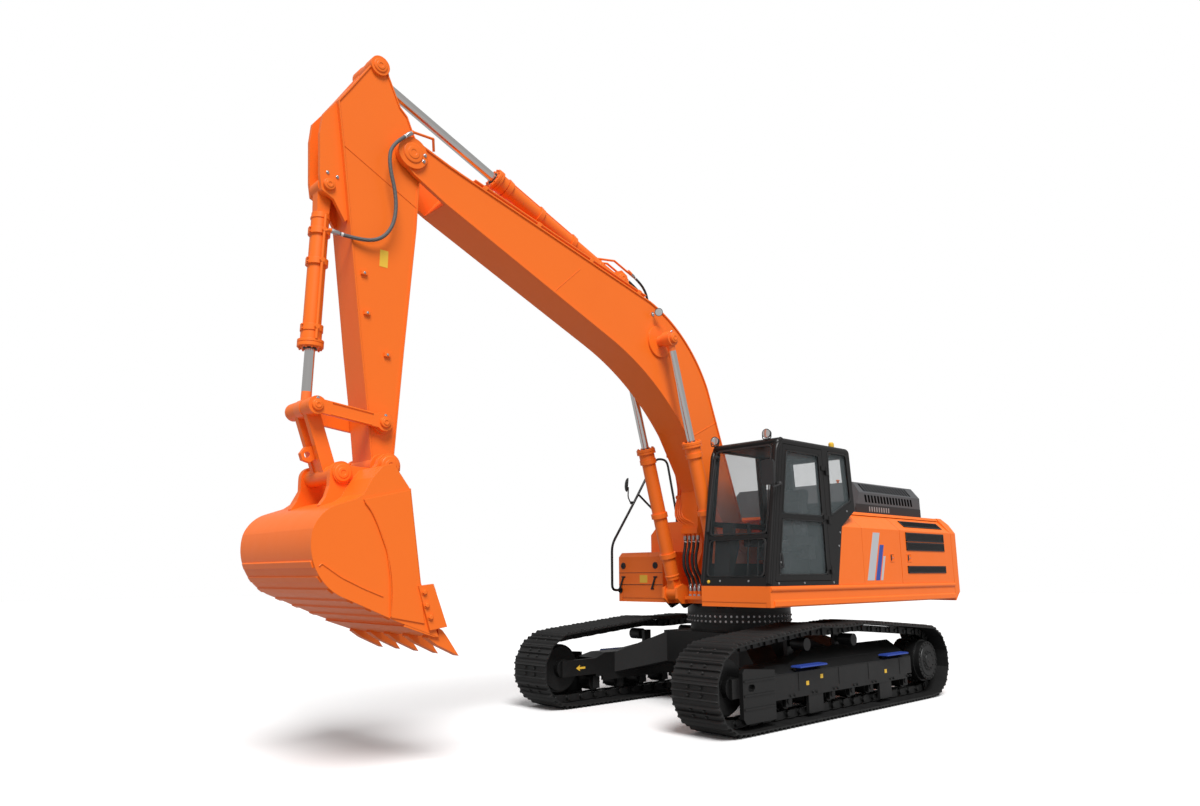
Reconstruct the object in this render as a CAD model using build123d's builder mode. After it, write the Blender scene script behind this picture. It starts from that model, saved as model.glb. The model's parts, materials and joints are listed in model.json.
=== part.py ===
"""Crawler excavator, built as separate pieces in one frame.

Frame: millimetres, +X to the front (where the boom points), +Y to the left,
+Z up.  The pieces are drawn about the slewing axis and written about the middle
of the machine's length, so the origin is on the ground under that middle.
"""
import os
from math import cos, hypot, pi, radians, sin

from build123d import *

os.makedirs("parts", exist_ok=True)

# ---------------------------------------------------------------- clearances
seat_gap = 0.3          # between pieces that rest on each other
run_gap = 6.0           # beside a piece that moves
pin_gap = 0.5           # beside a pin boss

middle_x = 1326.0       # from the slewing axis forward to the middle of the machine's length
home = Location((-middle_x, 0, 0))

# ------------------------------------------------------------------- tracks
gauge = 2590.0          # between the middles of the two tracks
shoe_width = 600.0
shoe_count = 48
shoe_thick = 25.0
shoe_phase = 100.0      # from the drive's lowest point to the first joint of two shoes
rib_height = 30.0
rib_base = 17.0         # half the foot of a rib
tumbler_span = 3980.0   # idler axle to sprocket axle
tumbler_radius = 425.0  # to the outer face of the shoes
chain_height = 100.0
chain_width = 200.0
carrier_x = (560.0, -430.0)
carrier_rise = 1000.0   # outer face of the shoes over a carrier roller
run_sag = 22.0
carrier_radius = 70.0
roller_radius = 85.0
roller_count = 8
roller_span = 2960.0    # first to last bottom roller
frame_half = 190.0      # half the width of a track frame
frame_low = 330.0
frame_high = 610.0
frame_front = 1500.0
frame_rear = -1590.0

# ------------------------------------------------------- car body and slewing
body_low = 500.0
body_high = 880.0
body_half_x = 760.0
body_half_y = 620.0
leg_foot_x = 1180.0
leg_foot_half = 240.0
ring_radius = 660.0
ring_split = 1110.0
deck_low = 1220.0

# --------------------------------------------------------------- upper house
house_half = 1490.0     # half the width over the side doors
deck_thick = 50.0
skirt_high = 1445.0
skirt_thick = 60.0
crease_high = 2130.0
shoulder_half = 1310.0
shoulder_high = 2345.0
panel_thick = 40.0
panel_split = (-590.0, -1540.0, -3020.0)   # edges of the two side doors
tail_radius = 3500.0
weight_depth = 486.0    # front face of the counterweight to its rearmost point
deck_rear = weight_depth - tail_radius
weight_front = deck_rear - 10
hood_front = -1200.0
hood_half = 1080.0
hood_high = 2800.0
hood_top_half = 960.0
well_half = 300.0       # half the width of the open well around the boom foot
bracket_thick = 50.0
nose_front = 700.0      # front edge of the deck between the cab and the box

# ----------------------------------------------------------------------- cab
cab_front = 1350.0
cab_inner = 520.0       # side of the cab next to the boom
cab_roof = 3100.0
cab_top_front = 1070.0
cab_top_rear = -440.0
cab_back = -500.0
cab_back_low = 2360.0
cab_foot = 0.0
cab_foot_rise = -150.0
wall = 60.0
glass_thick = 8.0

# ------------------------------------------------------------ right front box
box_front = 710.0
box_rear = 60.0
box_inner = 670.0
box_high = 1870.0
tank_rear = -900.0
tank_inner = 440.0
tank_high = shoulder_high - 45

# ------------------------------------------- pins of the working gear (x, z)
boom_foot = (220.0, 2000.0)
boom_tip = (5130.0, 5620.0)
lift_foot = (780.0, 1350.0)
lift_rod = (1640.0, 4370.0)
crowd_foot = (2200.0, 5070.0)
crowd_rod = (5495.0, 6430.0)
bucket_pin = (5280.0, 2530.0)
tooth_tip = (4750.0, 905.0)

boom_half = 225.0
arm_half = 175.0
line_radius = 13.0      # of the steel hydraulic lines
plate_lip = 14.0        # how far top and bottom plates stand out of the sides

# places of pins in the arm's own frame: along the arm, and out to its front
link_pin = (2695.0, 35.0)
rocker_pin = (2650.0, 679.0)
curl_foot = (587.0, 752.0)
ear_pin = (3212.0, 436.0)

lift_y = 385.0
bucket_half = 724.0
link_inner = 202.0
link_thick = 42.0
ear_inner = 256.0
ear_thick = 60.0


# ---------------------------------------------------------------- hose routes
main_hose = 38.0
crowd_hose = 30.0
tip_hose = 36.0


def main_routes():
    """Four hoses, side by side, from the block under the boom down to the one on the deck."""
    routes = []
    for number in range(4):
        y = -215 + 70 * number
        bulge = 12 * (number % 2)
        routes.append([(760, y, 2055), (760, y, 1935), (800 + bulge, y + 3, 1830), (812 + bulge, y + 5, 1728),
                       (795 + bulge, y + 12, 1620), (725, y + 30, 1500), (722, y + 36, 1370)])
    return routes


def crowd_routes():
    """Two hoses from the foot of the crowd cylinder back to the top of the boom."""
    boom_line = frame_along(boom_foot, boom_tip)
    routes = []
    for y, back in ((62, 0), (-62, 90)):
        places = [(3300, 1548), (3180, 1572), (3040 - back, 1574 + back / 3), (2912 - back, 1512 + back / 5),
                  (2858 - back, 1428)]
        routes.append([tuple(boom_line.from_local_coords(Vector(along, up, -y))) for along, up in places])
    return routes


# one hose from the tip of the boom, over the left side of the arm, to the bucket cylinder
tip_route = [(5184, 262, 5794), (5380, 292, 5620), (5415, 290, 5410), (5300, 275, 5080), (5310, 262, 4800),
             (5440, 236, 4620), (5680, 200, 4590), (5850, 160, 4622)]


# ------------------------------------------------------------------ helpers
def frame_along(start, end):
    """A plane through two (x, z) points: X runs along them, Y to their upper or front side."""
    along = (end[0] - start[0], 0, end[1] - start[1])
    return Plane(origin=(start[0], 0, start[1]), x_dir=along, z_dir=(0, -1, 0))


def spot(frame, place):
    """The (x, z) of a place given in a frame."""
    point = frame.from_local_coords(Vector(place[0], place[1], 0))
    return (point.X, point.Z)


def local(frame, place):
    """The place in a frame of an (x, z) point."""
    point = frame.to_local_coords(Vector(place[0], 0, place[1]))
    return (point.X, point.Y)


def shifted(frame, left):
    """The same frame, moved to the left of the machine."""
    return Plane(origin=frame.origin + Vector(0, left, 0), x_dir=frame.x_dir, z_dir=frame.z_dir)


side_plane = Plane(origin=(0, 0, 0), x_dir=(1, 0, 0), z_dir=(0, -1, 0))


def slab(frame, outline, thick, mode=Mode.ADD):
    """A flat piece of an outline, as thick on one side of the frame as on the other."""
    with BuildSketch(frame) as face:
        with BuildLine():
            Polyline(*outline, close=True)
        make_face()
    extrude(to_extrude=face.sketch, amount=thick / 2, both=True, mode=mode)


def disc(frame, centre, radius, thick, mode=Mode.ADD):
    """A round boss, disc or bore across a frame."""
    with BuildSketch(frame) as face:
        with Locations(centre):
            Circle(radius)
    extrude(to_extrude=face.sketch, amount=thick / 2, both=True, mode=mode)


def bar(frame, start, end, half_wide, thick, mode=Mode.ADD):
    """A link with round ends between two places of a frame."""
    with BuildSketch(frame) as face:
        with BuildLine():
            Line(start, end)
        trace(line_width=2 * half_wide)
        with Locations(start, end):
            Circle(half_wide)
    extrude(to_extrude=face.sketch, amount=thick / 2, both=True, mode=mode)


def block(x0, x1, y0, y1, z0, z1, mode=Mode.ADD):
    """A box between two corners."""
    with Locations(((x0 + x1) / 2, (y0 + y1) / 2, (z0 + z1) / 2)):
        Box(abs(x1 - x0), abs(y1 - y0), abs(z1 - z0), mode=mode)


def rod(start, end, radius, mode=Mode.ADD):
    """A round bar between two points."""
    axis = Vector(*end) - Vector(*start)
    with BuildSketch(Plane(origin=start, z_dir=axis)) as face:
        Circle(radius)
    extrude(to_extrude=face.sketch, amount=axis.length, mode=mode)


def tan_half(turn):
    """The tangent of half an angle."""
    return sin(turn) / (1 + cos(turn))


def ferrule(route, radius, long):
    """The metal end that a hose's route starts from, in line with its first run."""
    start = Vector(*route[0])
    out = (Vector(*route[1]) - start).normalized()
    rod(start - out * seat_gap, start - out * long, radius)


def save(piece, name):
    """Label a finished piece and write it out."""
    placed = piece.moved(home)
    placed.label = name
    export_step(placed, f"parts/{name}.step")


# ------------------------------------------------------------------- tracks
axle_z = tumbler_radius + rib_height
idler_x = tumbler_span / 2
sprocket_x = -tumbler_span / 2


def track_line():
    """Corners of the loop of shoes, as (x, z, outward x, outward z)."""
    top = axle_z + tumbler_radius
    sag_x = (carrier_x[0] + carrier_x[1]) / 2
    legs = [((sprocket_x, rib_height), (idler_x, rib_height))]
    crown = [(idler_x, top), (carrier_x[0], carrier_rise), (sag_x, carrier_rise - run_sag),
             (carrier_x[1], carrier_rise), (sprocket_x, top)]
    turn = pi * tumbler_radius
    spans = [("run", legs[0]), ("turn", idler_x, -pi / 2)]
    spans += [("run", pair) for pair in zip(crown, crown[1:])]
    spans += [("turn", sprocket_x, pi / 2)]
    lengths = [turn if span[0] == "turn" else hypot(span[1][1][0] - span[1][0][0], span[1][1][1] - span[1][0][1])
               for span in spans]
    pitch = sum(lengths) / shoe_count
    corners = []
    for number in range(shoe_count):
        along = number * pitch + shoe_phase
        for span, length in zip(spans, lengths):
            if along <= length:
                break
            along -= length
        if span[0] == "turn":
            angle = span[2] + along / tumbler_radius
            out = (cos(angle), sin(angle))
            corners.append((span[1] + tumbler_radius * out[0], axle_z + tumbler_radius * out[1], out[0],
                            out[1]))
        else:
            (ax, az), (bx, bz) = span[1]
            ux, uz = (bx - ax) / length, (bz - az) / length
            corners.append((ax + ux * along, az + uz * along, uz, -ux))
    return corners


def inset(corners, depth):
    """The loop moved inwards."""
    return [(x - depth * nx, z - depth * nz) for x, z, nx, nz in corners]


def ribbed(corners):
    """The loop's outer outline, with three ribs across each shoe."""
    outline = []
    for (ax, az, _, _), (bx, bz, _, _) in zip(corners, corners[1:] + corners[:1]):
        long = hypot(bx - ax, bz - az)
        ux, uz = (bx - ax) / long, (bz - az) / long
        outline.append((ax, az))
        for share in (0.17, 0.5, 0.83):
            for shift, rise in ((-rib_base, 0), (0, rib_height), (rib_base, 0)):
                step = share * long + shift
                outline.append((ax + ux * step + uz * rise, az + uz * step - ux * rise))
    return outline


shoe_line = track_line()
flat_share = 0.955      # the flats of the loop come nearer to a wheel than its corners
wheel_radius = (tumbler_radius - shoe_thick - chain_height) * flat_share
sides = (("left", 1), ("right", -1))

for side, sign in sides:
    track_plane = shifted(side_plane, sign * gauge / 2)
    with BuildPart() as track:
        slab(track_plane, ribbed(shoe_line), shoe_width)
        slab(track_plane, inset(shoe_line, shoe_thick), shoe_width, mode=Mode.SUBTRACT)
        slab(track_plane, inset(shoe_line, shoe_thick - 1), chain_width)
        slab(track_plane, inset(shoe_line, shoe_thick + chain_height), chain_width, mode=Mode.SUBTRACT)
    save(track.part, f"track_{side}")

carrier_drop = 8.0      # the flats of the loop hang below its highest point
carrier_z = carrier_rise - shoe_thick - chain_height - carrier_radius - carrier_drop
roller_z = rib_height + shoe_thick + chain_height + roller_radius + seat_gap
roller_pitch = roller_span / (roller_count - 1)
guard_thick = 36.0
guard_half = 142.0
guard_low = 85.0
roof_rear = frame_rear + 20
roof_fall = 300.0       # from here the roof falls to the front
roof_front = 950.0
roof_edge = 535.0
ridge_high = 728.0
ridge_in = 110.0        # from the middle of the track in to the ridge
flange_low = 275.0
fork_half = 95.0        # half the height of the fork that holds the idler
tie_x = idler_x - 190    # recess in the front guard: its middle, radius and straight run
tie_z = 450.0
tie_radius = 34.0
tie_run = 44.0
tie_deep = 40.0
guard_face = frame_half + 50   # outer face of the front guard, from the middle of the track

for side, sign in sides:
    middle = sign * gauge / 2
    frame_plane = shifted(side_plane, middle)
    with BuildPart() as track_frame:
        slab(frame_plane, [(frame_rear, frame_low), (frame_front, frame_low), (frame_front, frame_high - 60),
                           (frame_front - 150, frame_high), (frame_rear + 60, frame_high),
                           (frame_rear, frame_high - 60)], 2 * frame_half)
        # roof that slopes down to the outside, with a lower front end
        with BuildSketch(Plane.YZ.offset(roof_rear)) as roof:
            with BuildLine():
                Polyline((middle + sign * frame_half, roof_edge), (middle - sign * ridge_in, ridge_high),
                         (middle - sign * frame_half, ridge_high - 30), (middle - sign * frame_half,
                                                                         frame_high - 80),
                         (middle + sign * frame_half, frame_high - 80), close=True)
            make_face()
        extrude(to_extrude=roof.sketch, amount=roof_front - roof_rear)
        slab(frame_plane, [(roof_fall, ridge_high), (roof_front + 10, frame_high - 10),
                           (roof_front + 10, ridge_high + 10),
                           (roof_fall, ridge_high + 10)], 2 * frame_half + 10, mode=Mode.SUBTRACT)
        with BuildSketch(Plane.YZ.offset(frame_rear)) as bevel:
            with BuildLine():
                Polyline((middle + sign * frame_half, roof_edge), (middle + sign * frame_half, frame_high),
                         (middle + sign * (frame_half - 120), frame_high), close=True)
            make_face()
        extrude(to_extrude=bevel.sketch, amount=frame_front - frame_rear, mode=Mode.SUBTRACT)
        # flanges along the foot of both walls
        for cheek in (-1, 1):
            block(frame_rear + 120, frame_front - 120, middle + cheek * (frame_half - 40),
                  middle + cheek * frame_half,
                  flange_low, frame_low + 5)
        # forks for the idler at the front and the final drive at the rear
        for cheek in (-1, 1):
            cheek_plane = shifted(frame_plane, cheek * (frame_half - 20))
            slab(cheek_plane, [(frame_front - 200, axle_z - fork_half), (idler_x + 60, axle_z - fork_half),
                               (idler_x + 60, axle_z + fork_half), (frame_front - 200,
                                                                    axle_z + fork_half)], 40)
        outer = shifted(frame_plane, sign * (frame_half + 25))
        slab(outer, [(frame_front - 100, 110), (idler_x - 90, 110), (idler_x - 50, 160), (idler_x - 50, 600),
                     (idler_x - 90, 640), (frame_front - 100, 600)], 50)
        # oblong recess in the front guard
        recess_plane = shifted(frame_plane, sign * (guard_face - tie_deep / 2))
        for end in (-1, 1):
            disc(recess_plane, (tie_x + end * tie_run / 2, tie_z), tie_radius, tie_deep, mode=Mode.SUBTRACT)
        block(tie_x - tie_run / 2, tie_x + tie_run / 2, middle + sign * (guard_face - tie_deep),
              middle + sign * guard_face, tie_z - tie_radius, tie_z + tie_radius, mode=Mode.SUBTRACT)
        drive_plane = shifted(frame_plane, -sign * (frame_half - 20))
        slab(drive_plane, [(frame_rear + 100, frame_low), (frame_rear + 100, frame_high),
                           (sprocket_x - 90, axle_z + 150), (sprocket_x - 170, axle_z),
                           (sprocket_x - 90, axle_z - 150)], 40)
        # track guards under the frame, over the outer edge of the chain
        for guard_x in (575, -938):
            block(guard_x - guard_half, guard_x + guard_half, middle + sign * 145,
                  middle + sign * (145 + guard_thick),
                  guard_low, frame_low)
        # brackets of the carrier rollers
        for carrier in carrier_x:
            block(carrier - 60, carrier + 60, middle - sign * frame_half, middle - sign * (frame_half - 50),
                  frame_high - 20, carrier_z + 55)
    save(track_frame.part, f"track_frame_{side}")

idler_radius = wheel_radius - 1
with BuildPart() as idlers:
    for side, sign in sides:
        wheel_plane = shifted(side_plane, sign * gauge / 2)
        disc(wheel_plane, (idler_x, axle_z), idler_radius - 25, 160)
        disc(wheel_plane, (idler_x, axle_z), idler_radius, 90)
        disc(wheel_plane, (idler_x, axle_z), 110, 2 * (frame_half - 40) - 2 * seat_gap)
save(idlers.part, "idlers")

tooth_count = 21
drive_cover_y = 1527.0  # outer face of the drive's cover, from the middle of the machine
with BuildPart() as sprockets:
    for side, sign in sides:
        middle = sign * gauge / 2
        wheel_plane = shifted(side_plane, middle)
        teeth = []
        for tooth in range(tooth_count):
            for share, radius in ((0.3, wheel_radius - 30), (0.45, wheel_radius - 1),
                                  (0.55, wheel_radius - 1), (0.7, wheel_radius - 30)):
                angle = 2 * pi * (tooth + share) / tooth_count
                teeth.append((sprocket_x + radius * cos(angle), axle_z + radius * sin(angle)))
        slab(wheel_plane, teeth, 70)
        # stepped cover of the final drive, out to the side of the machine
        drive_in = middle - sign * (frame_half - 40 - seat_gap)
        steps = ((262, drive_in, middle + sign * 150), (240, drive_in, sign * (drive_cover_y - 12)),
                 (128, drive_in, sign * drive_cover_y))
        for radius, low, high in steps:
            rod((sprocket_x, low, axle_z), (sprocket_x, high, axle_z), radius)
save(sprockets.part, "sprockets")

collar_low = roller_z - 60
with BuildPart() as rollers:
    for side, sign in sides:
        wheel_plane = shifted(side_plane, sign * gauge / 2)
        for number in range(roller_count):
            roller_x = roller_span / 2 - 30 - number * roller_pitch
            disc(wheel_plane, (roller_x, roller_z), roller_radius, 2 * 98)
            disc(wheel_plane, (roller_x, roller_z), 45, 2 * 130)
            for end in (-1, 1):
                y = sign * gauge / 2 + end * 122
                block(roller_x - 55, roller_x + 55, y - 18, y + 18, collar_low, frame_low - seat_gap)
    for side, sign in sides:
        middle = sign * gauge / 2
        for carrier in carrier_x:
            wheel_plane = shifted(side_plane, middle)
            disc(wheel_plane, (carrier, carrier_z), carrier_radius, 2 * 90)
            shaft_end = middle - sign * (frame_half - 50 - seat_gap)
            rod((carrier, shaft_end, carrier_z), (carrier, middle, carrier_z), 35)
save(rollers.part, "rollers")

# ------------------------------------------------------------------ car body
leg_y = gauge / 2 - frame_half - seat_gap
with BuildPart() as car_body:
    block(-body_half_x, body_half_x, -body_half_y, body_half_y, body_low, body_high)
    for end in (-1, 1):
        for sign in (-1, 1):
            # a leg from the body out to the track frame, as two sections
            with BuildSketch(Plane.XZ.offset(-sign * (body_half_y - 60))) as root:
                with Locations((end * (body_half_x - 260), (body_low + body_high) / 2)):
                    Rectangle(500, body_high - body_low - 20)
            with BuildSketch(Plane.XZ.offset(-sign * leg_y)) as foot:
                with Locations((end * (leg_foot_x - leg_foot_half), (frame_low + frame_high) / 2 + 10)):
                    Rectangle(2 * leg_foot_half, frame_high - frame_low - 40)
            loft(sections=[root.sketch.faces()[0], foot.sketch.faces()[0]])
    with BuildSketch(Plane.XY.offset(body_high - 1)) as seat:
        Circle(ring_radius - 40)
    extrude(to_extrude=seat.sketch, amount=ring_split - body_high + 1 - seat_gap)
    with BuildSketch(Plane.XY.offset(980)) as toothed:
        Circle(ring_radius)
    extrude(to_extrude=toothed.sketch, amount=ring_split - 980 - seat_gap)
save(car_body.part, "car_body")

# --------------------------------------------------------------- main frame
lift_ear_half = 110.5   # from the middle of a lift cylinder to the middle of an ear
lift_ear_thick = 36.0
foot_boss = 165.0
deck_high = deck_low + deck_thick
bracket_high = 1500.0   # top of the brackets under the engine
engine_rear = deck_rear + 314
engine_front = engine_rear + 1060
engine_high = 2200.0
with BuildPart() as main_frame:
    with BuildSketch(Plane.XY.offset(deck_low)) as deck:
        with BuildLine():
            Polyline((weight_front + seat_gap, -house_half + skirt_thick),
                     (weight_front + seat_gap, house_half - skirt_thick), (cab_front - 4,
                                                                           house_half - skirt_thick), (cab_front - 4, cab_inner + 10),
                     (nose_front, cab_inner + 10), (nose_front, -house_half + skirt_thick), close=True)
        make_face()
    extrude(to_extrude=deck.sketch, amount=deck_thick)
    # upper half of the slewing ring
    with BuildSketch(Plane.XY.offset(ring_split)) as ring:
        Circle(ring_radius)
    extrude(to_extrude=ring.sketch, amount=deck_low - ring_split + 1)
    # the two long boom brackets
    for sign in (-1, 1):
        bracket_plane = shifted(side_plane, sign * (well_half - bracket_thick / 2))
        slab(bracket_plane, [(engine_rear - 60, deck_high - 1), (nose_front - 40, deck_high - 1),
                             (nose_front - 40, 1400),
                             (boom_foot[0] + 190, boom_foot[1] - 150), (boom_foot[0] + 150,
                                                                        boom_foot[1] + 110),
                             (boom_foot[0] + 40, boom_foot[1] + 180), (boom_foot[0] - 120,
                                                                       boom_foot[1] + 130),
                             (-700, 1700), (-1540, bracket_high), (engine_rear - 60,
                                                                   bracket_high)], bracket_thick)
        foot_plane = shifted(side_plane, sign * (boom_half + plate_lip + run_gap
                                                 + (well_half + 20 - boom_half - plate_lip - run_gap) / 2))
        disc(foot_plane, boom_foot, foot_boss, well_half + 20 - boom_half - plate_lip - run_gap)
        # ears that hold a lift cylinder
        for ear in (-1, 1):
            ear_y = sign * lift_y + ear * lift_ear_half
            ear_plane = shifted(side_plane, ear_y)
            slab(ear_plane, [(lift_foot[0] - 200, deck_low), (lift_foot[0] - 40, deck_low - 60),
                             (lift_foot[0] + 110, deck_low + 60), (lift_foot[0] + 110, lift_foot[1] + 60),
                             (lift_foot[0], lift_foot[1] + 110), (lift_foot[0] - 120, lift_foot[1] + 60),
                             (lift_foot[0] - 200, deck_high + 40)], lift_ear_thick)
    # cross member under the cylinder feet
    block(lift_foot[0] - 200, nose_front, -lift_y - lift_ear_half, lift_y + lift_ear_half, deck_low,
          deck_high)
    # caps that close the pins of the boom foot and of the lift cylinders' feet
    lift_cap_y = lift_y + lift_ear_half + lift_ear_thick / 2
    for sign in (-1, 1):
        disc(shifted(side_plane, sign * (well_half + 20 + 13)), boom_foot, 80, 28)
        disc(shifted(side_plane, sign * (lift_cap_y + 11)), lift_foot, 62, 24)
    # block with the lower fittings of the main hoses
    block(600, 775, -235, 95, deck_high - 1, 1310)
    for route in main_routes():
        ferrule(route[::-1], 26, 70)
save(main_frame.part, "main_frame")

boom_frame = frame_along(boom_foot, boom_tip)
arm_frame = frame_along(boom_tip, bucket_pin)
bucket_frame = frame_along(bucket_pin, tooth_tip)
boom_length = hypot(boom_tip[0] - boom_foot[0], boom_tip[1] - boom_foot[1])
arm_length = hypot(bucket_pin[0] - boom_tip[0], bucket_pin[1] - boom_tip[1])
bucket_reach = hypot(tooth_tip[0] - bucket_pin[0], tooth_tip[1] - bucket_pin[1])

# --------------------------------------------------------------- side skirts
with BuildPart() as skirts:
    for sign, front in ((1, cab_front), (-1, box_front)):
        y = sign * (house_half - skirt_thick / 2)
        skirt_plane = shifted(side_plane, y)
        slab(skirt_plane, [(deck_rear, deck_low), (front, deck_low), (front, skirt_high - seat_gap),
                           (deck_rear, skirt_high - seat_gap)], skirt_thick - 2 * seat_gap)
    # front apron of the cab's platform
    block(cab_front - 60, cab_front, cab_inner + 10, house_half - skirt_thick - seat_gap,
          deck_high + seat_gap,
          skirt_high - seat_gap)
save(skirts.part, "skirts")

# ----------------------------------------------------------------------- cab
cab_profile = [(cab_front, skirt_high), (cab_top_front, cab_roof), (cab_top_rear, cab_roof),
               (cab_back, cab_back_low), (cab_foot_rise, crease_high), (cab_foot, skirt_high)]
cab_middle = (cab_inner + house_half) / 2
cab_width = house_half - cab_inner
cab_plane = shifted(side_plane, cab_middle)
door_gap = run_gap
# the door's outline follows the front pillar
pillar_lean = (cab_front - cab_top_front) / (cab_roof - skirt_high)


def pillar_x(height):
    """The windscreen's place at a height."""
    return cab_front - pillar_lean * (height - skirt_high)


sill = skirt_high + 55
lintel = cab_roof - 75
door_front = 95.0       # from the windscreen to the door's front edge
door_rear = 150.0
door_outline = [(door_rear, sill), (pillar_x(sill) - door_front, sill),
                (pillar_x(lintel) - door_front, lintel),
                (door_rear + 60, lintel)]


# hinge of the door, on the outside of its rear edge
hinge_x = 147.0
hinge_y = house_half + 12
hinge_heights = (1620.0, 2200.0, 2780.0)
knuckle_long = 50.0

with BuildPart() as cab_shell:
    slab(cab_plane, cab_profile, cab_width)
    fillet(cab_shell.edges().filter_by(Axis.Y).group_by(Axis.Z)[-1], radius=70)
    fillet(cab_shell.edges().filter_by(Axis.X).group_by(Axis.Z)[-1], radius=45)
    hollow = [(cab_front - wall, skirt_high + wall), (cab_top_front - wall, cab_roof - wall),
              (cab_top_rear + wall, cab_roof - wall), (cab_back + wall, cab_back_low + wall / 2),
              (cab_foot_rise + wall, crease_high + wall / 2), (cab_foot + wall, skirt_high + wall)]
    slab(cab_plane, hollow, cab_width - 2 * wall, mode=Mode.SUBTRACT)
    # doorway in the left wall, windows in the right one
    left_wall = shifted(side_plane, house_half - wall / 2)
    with BuildSketch(left_wall) as doorway:
        with BuildLine():
            Polyline(*door_outline, close=True)
        make_face()
        offset(amount=door_gap, kind=Kind.INTERSECTION)
    extrude(to_extrude=doorway.sketch, amount=wall, both=True, mode=Mode.SUBTRACT)
    right_wall = shifted(side_plane, cab_inner + wall / 2)
    slab(right_wall, [(150, 2180), (pillar_x(2180) - 100, 2180), (pillar_x(lintel) - 100, lintel),
                      (210, lintel)],
         2 * wall, mode=Mode.SUBTRACT)
    slab(right_wall, [(140, 1700), (pillar_x(1700) - 100, 1700), (pillar_x(2120) - 100, 2120), (140, 2120)],
         2 * wall, mode=Mode.SUBTRACT)
    # rear quarter windows on both sides
    quarter = [(cab_back + 110, 2440), (80, 2240), (80, lintel), (cab_top_rear + 110, lintel)]
    for y in (cab_inner + wall / 2, house_half - wall / 2):
        slab(shifted(side_plane, y), quarter, 2 * wall, mode=Mode.SUBTRACT)
    # windscreen and rear window
    screen = shifted(side_plane, cab_middle)
    slab(screen, [(pillar_x(1540) - wall - 40, 1540), (pillar_x(1540) + 40, 1540),
                  (pillar_x(lintel) + 40, lintel),
                  (pillar_x(lintel) - wall - 40, lintel)], cab_width - 150, mode=Mode.SUBTRACT)
    slab(screen, [(cab_back - 60, 2460), (cab_back + wall + 60, 2460),
                  (cab_top_rear + wall + 60, lintel - 40),
                  (cab_top_rear - 60, lintel - 40)], cab_width - 240, mode=Mode.SUBTRACT)
    # cross bar between the two panes of the windscreen
    split_high = 1985.0
    slab(screen, [(pillar_x(split_high - 22) - 45, split_high - 22),
                  (pillar_x(split_high - 22), split_high - 22),
                  (pillar_x(split_high + 22), split_high + 22), (pillar_x(split_high + 22) - 45,
                                                                 split_high + 22)],
         cab_width - 140)
    for low in hinge_heights:
        high = low - pin_gap
        block(hinge_x - 60, hinge_x - 18, house_half - 2, hinge_y - 2, high - knuckle_long, high)
        rod((hinge_x, hinge_y, high - knuckle_long), (hinge_x, hinge_y, high), 11)
        block(hinge_x - 40, hinge_x, hinge_y - 9, hinge_y + 2, high - knuckle_long, high)
save(cab_shell.part, "cab_shell")

pane_inset = 20.0
with BuildPart() as cab_glass:
    def pane(low, high, lean_x, wide):
        """A sheet of glass across the cab, between two heights."""
        slab(screen, [(lean_x(low) - pane_inset - glass_thick, low), (lean_x(low) - pane_inset, low),
                      (lean_x(high) - pane_inset, high), (lean_x(high) - pane_inset - glass_thick,
                                                          high)], wide)

    screen_wide = cab_width - 150 - 2 * seat_gap
    pane(1540 + seat_gap, split_high - 22 - seat_gap, pillar_x, screen_wide)
    pane(split_high + 22 + seat_gap, lintel - seat_gap, pillar_x, screen_wide)
    back_lean = (cab_top_rear - cab_back) / (cab_roof - cab_back_low)
    rear_low = 2460 + seat_gap
    rear_high = lintel - 40 - seat_gap

    def back_x(height):
        """The cab's back at a height."""
        return cab_back + back_lean * (height - cab_back_low)

    slab(screen, [(back_x(rear_low) + pane_inset, rear_low),
                  (back_x(rear_low) + pane_inset + glass_thick, rear_low),
                  (back_x(rear_high) + pane_inset + glass_thick,
                   rear_high), (back_x(rear_high) + pane_inset, rear_high)],
         cab_width - 240 - 2 * seat_gap)
    inner_pane = shifted(side_plane, cab_inner + pane_inset + glass_thick / 2)
    trim = seat_gap
    slab(inner_pane, [(150 + trim, 2180 + trim), (pillar_x(2180) - 100 - 2 * trim, 2180 + trim),
                      (pillar_x(lintel) - 100 - 2 * trim, lintel - trim), (210 + 2 * trim,
                                                                           lintel - trim)], glass_thick)
    slab(inner_pane, [(140 + trim, 1700 + trim), (pillar_x(1700) - 100 - 2 * trim, 1700 + trim),
                      (pillar_x(2120) - 100 - 2 * trim, 2120 - trim), (140 + trim, 2120 - trim)], glass_thick)
    small = [(cab_back + 110 + 2 * trim, 2440 + trim), (80 - trim, 2240 + 2 * trim),
             (80 - trim, lintel - trim),
             (cab_top_rear + 110 + 2 * trim, lintel - trim)]
    for y in (cab_inner + pane_inset + glass_thick / 2, house_half - pane_inset - glass_thick / 2):
        slab(shifted(side_plane, y), small, glass_thick)
save(cab_glass.part, "cab_glass")

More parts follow.
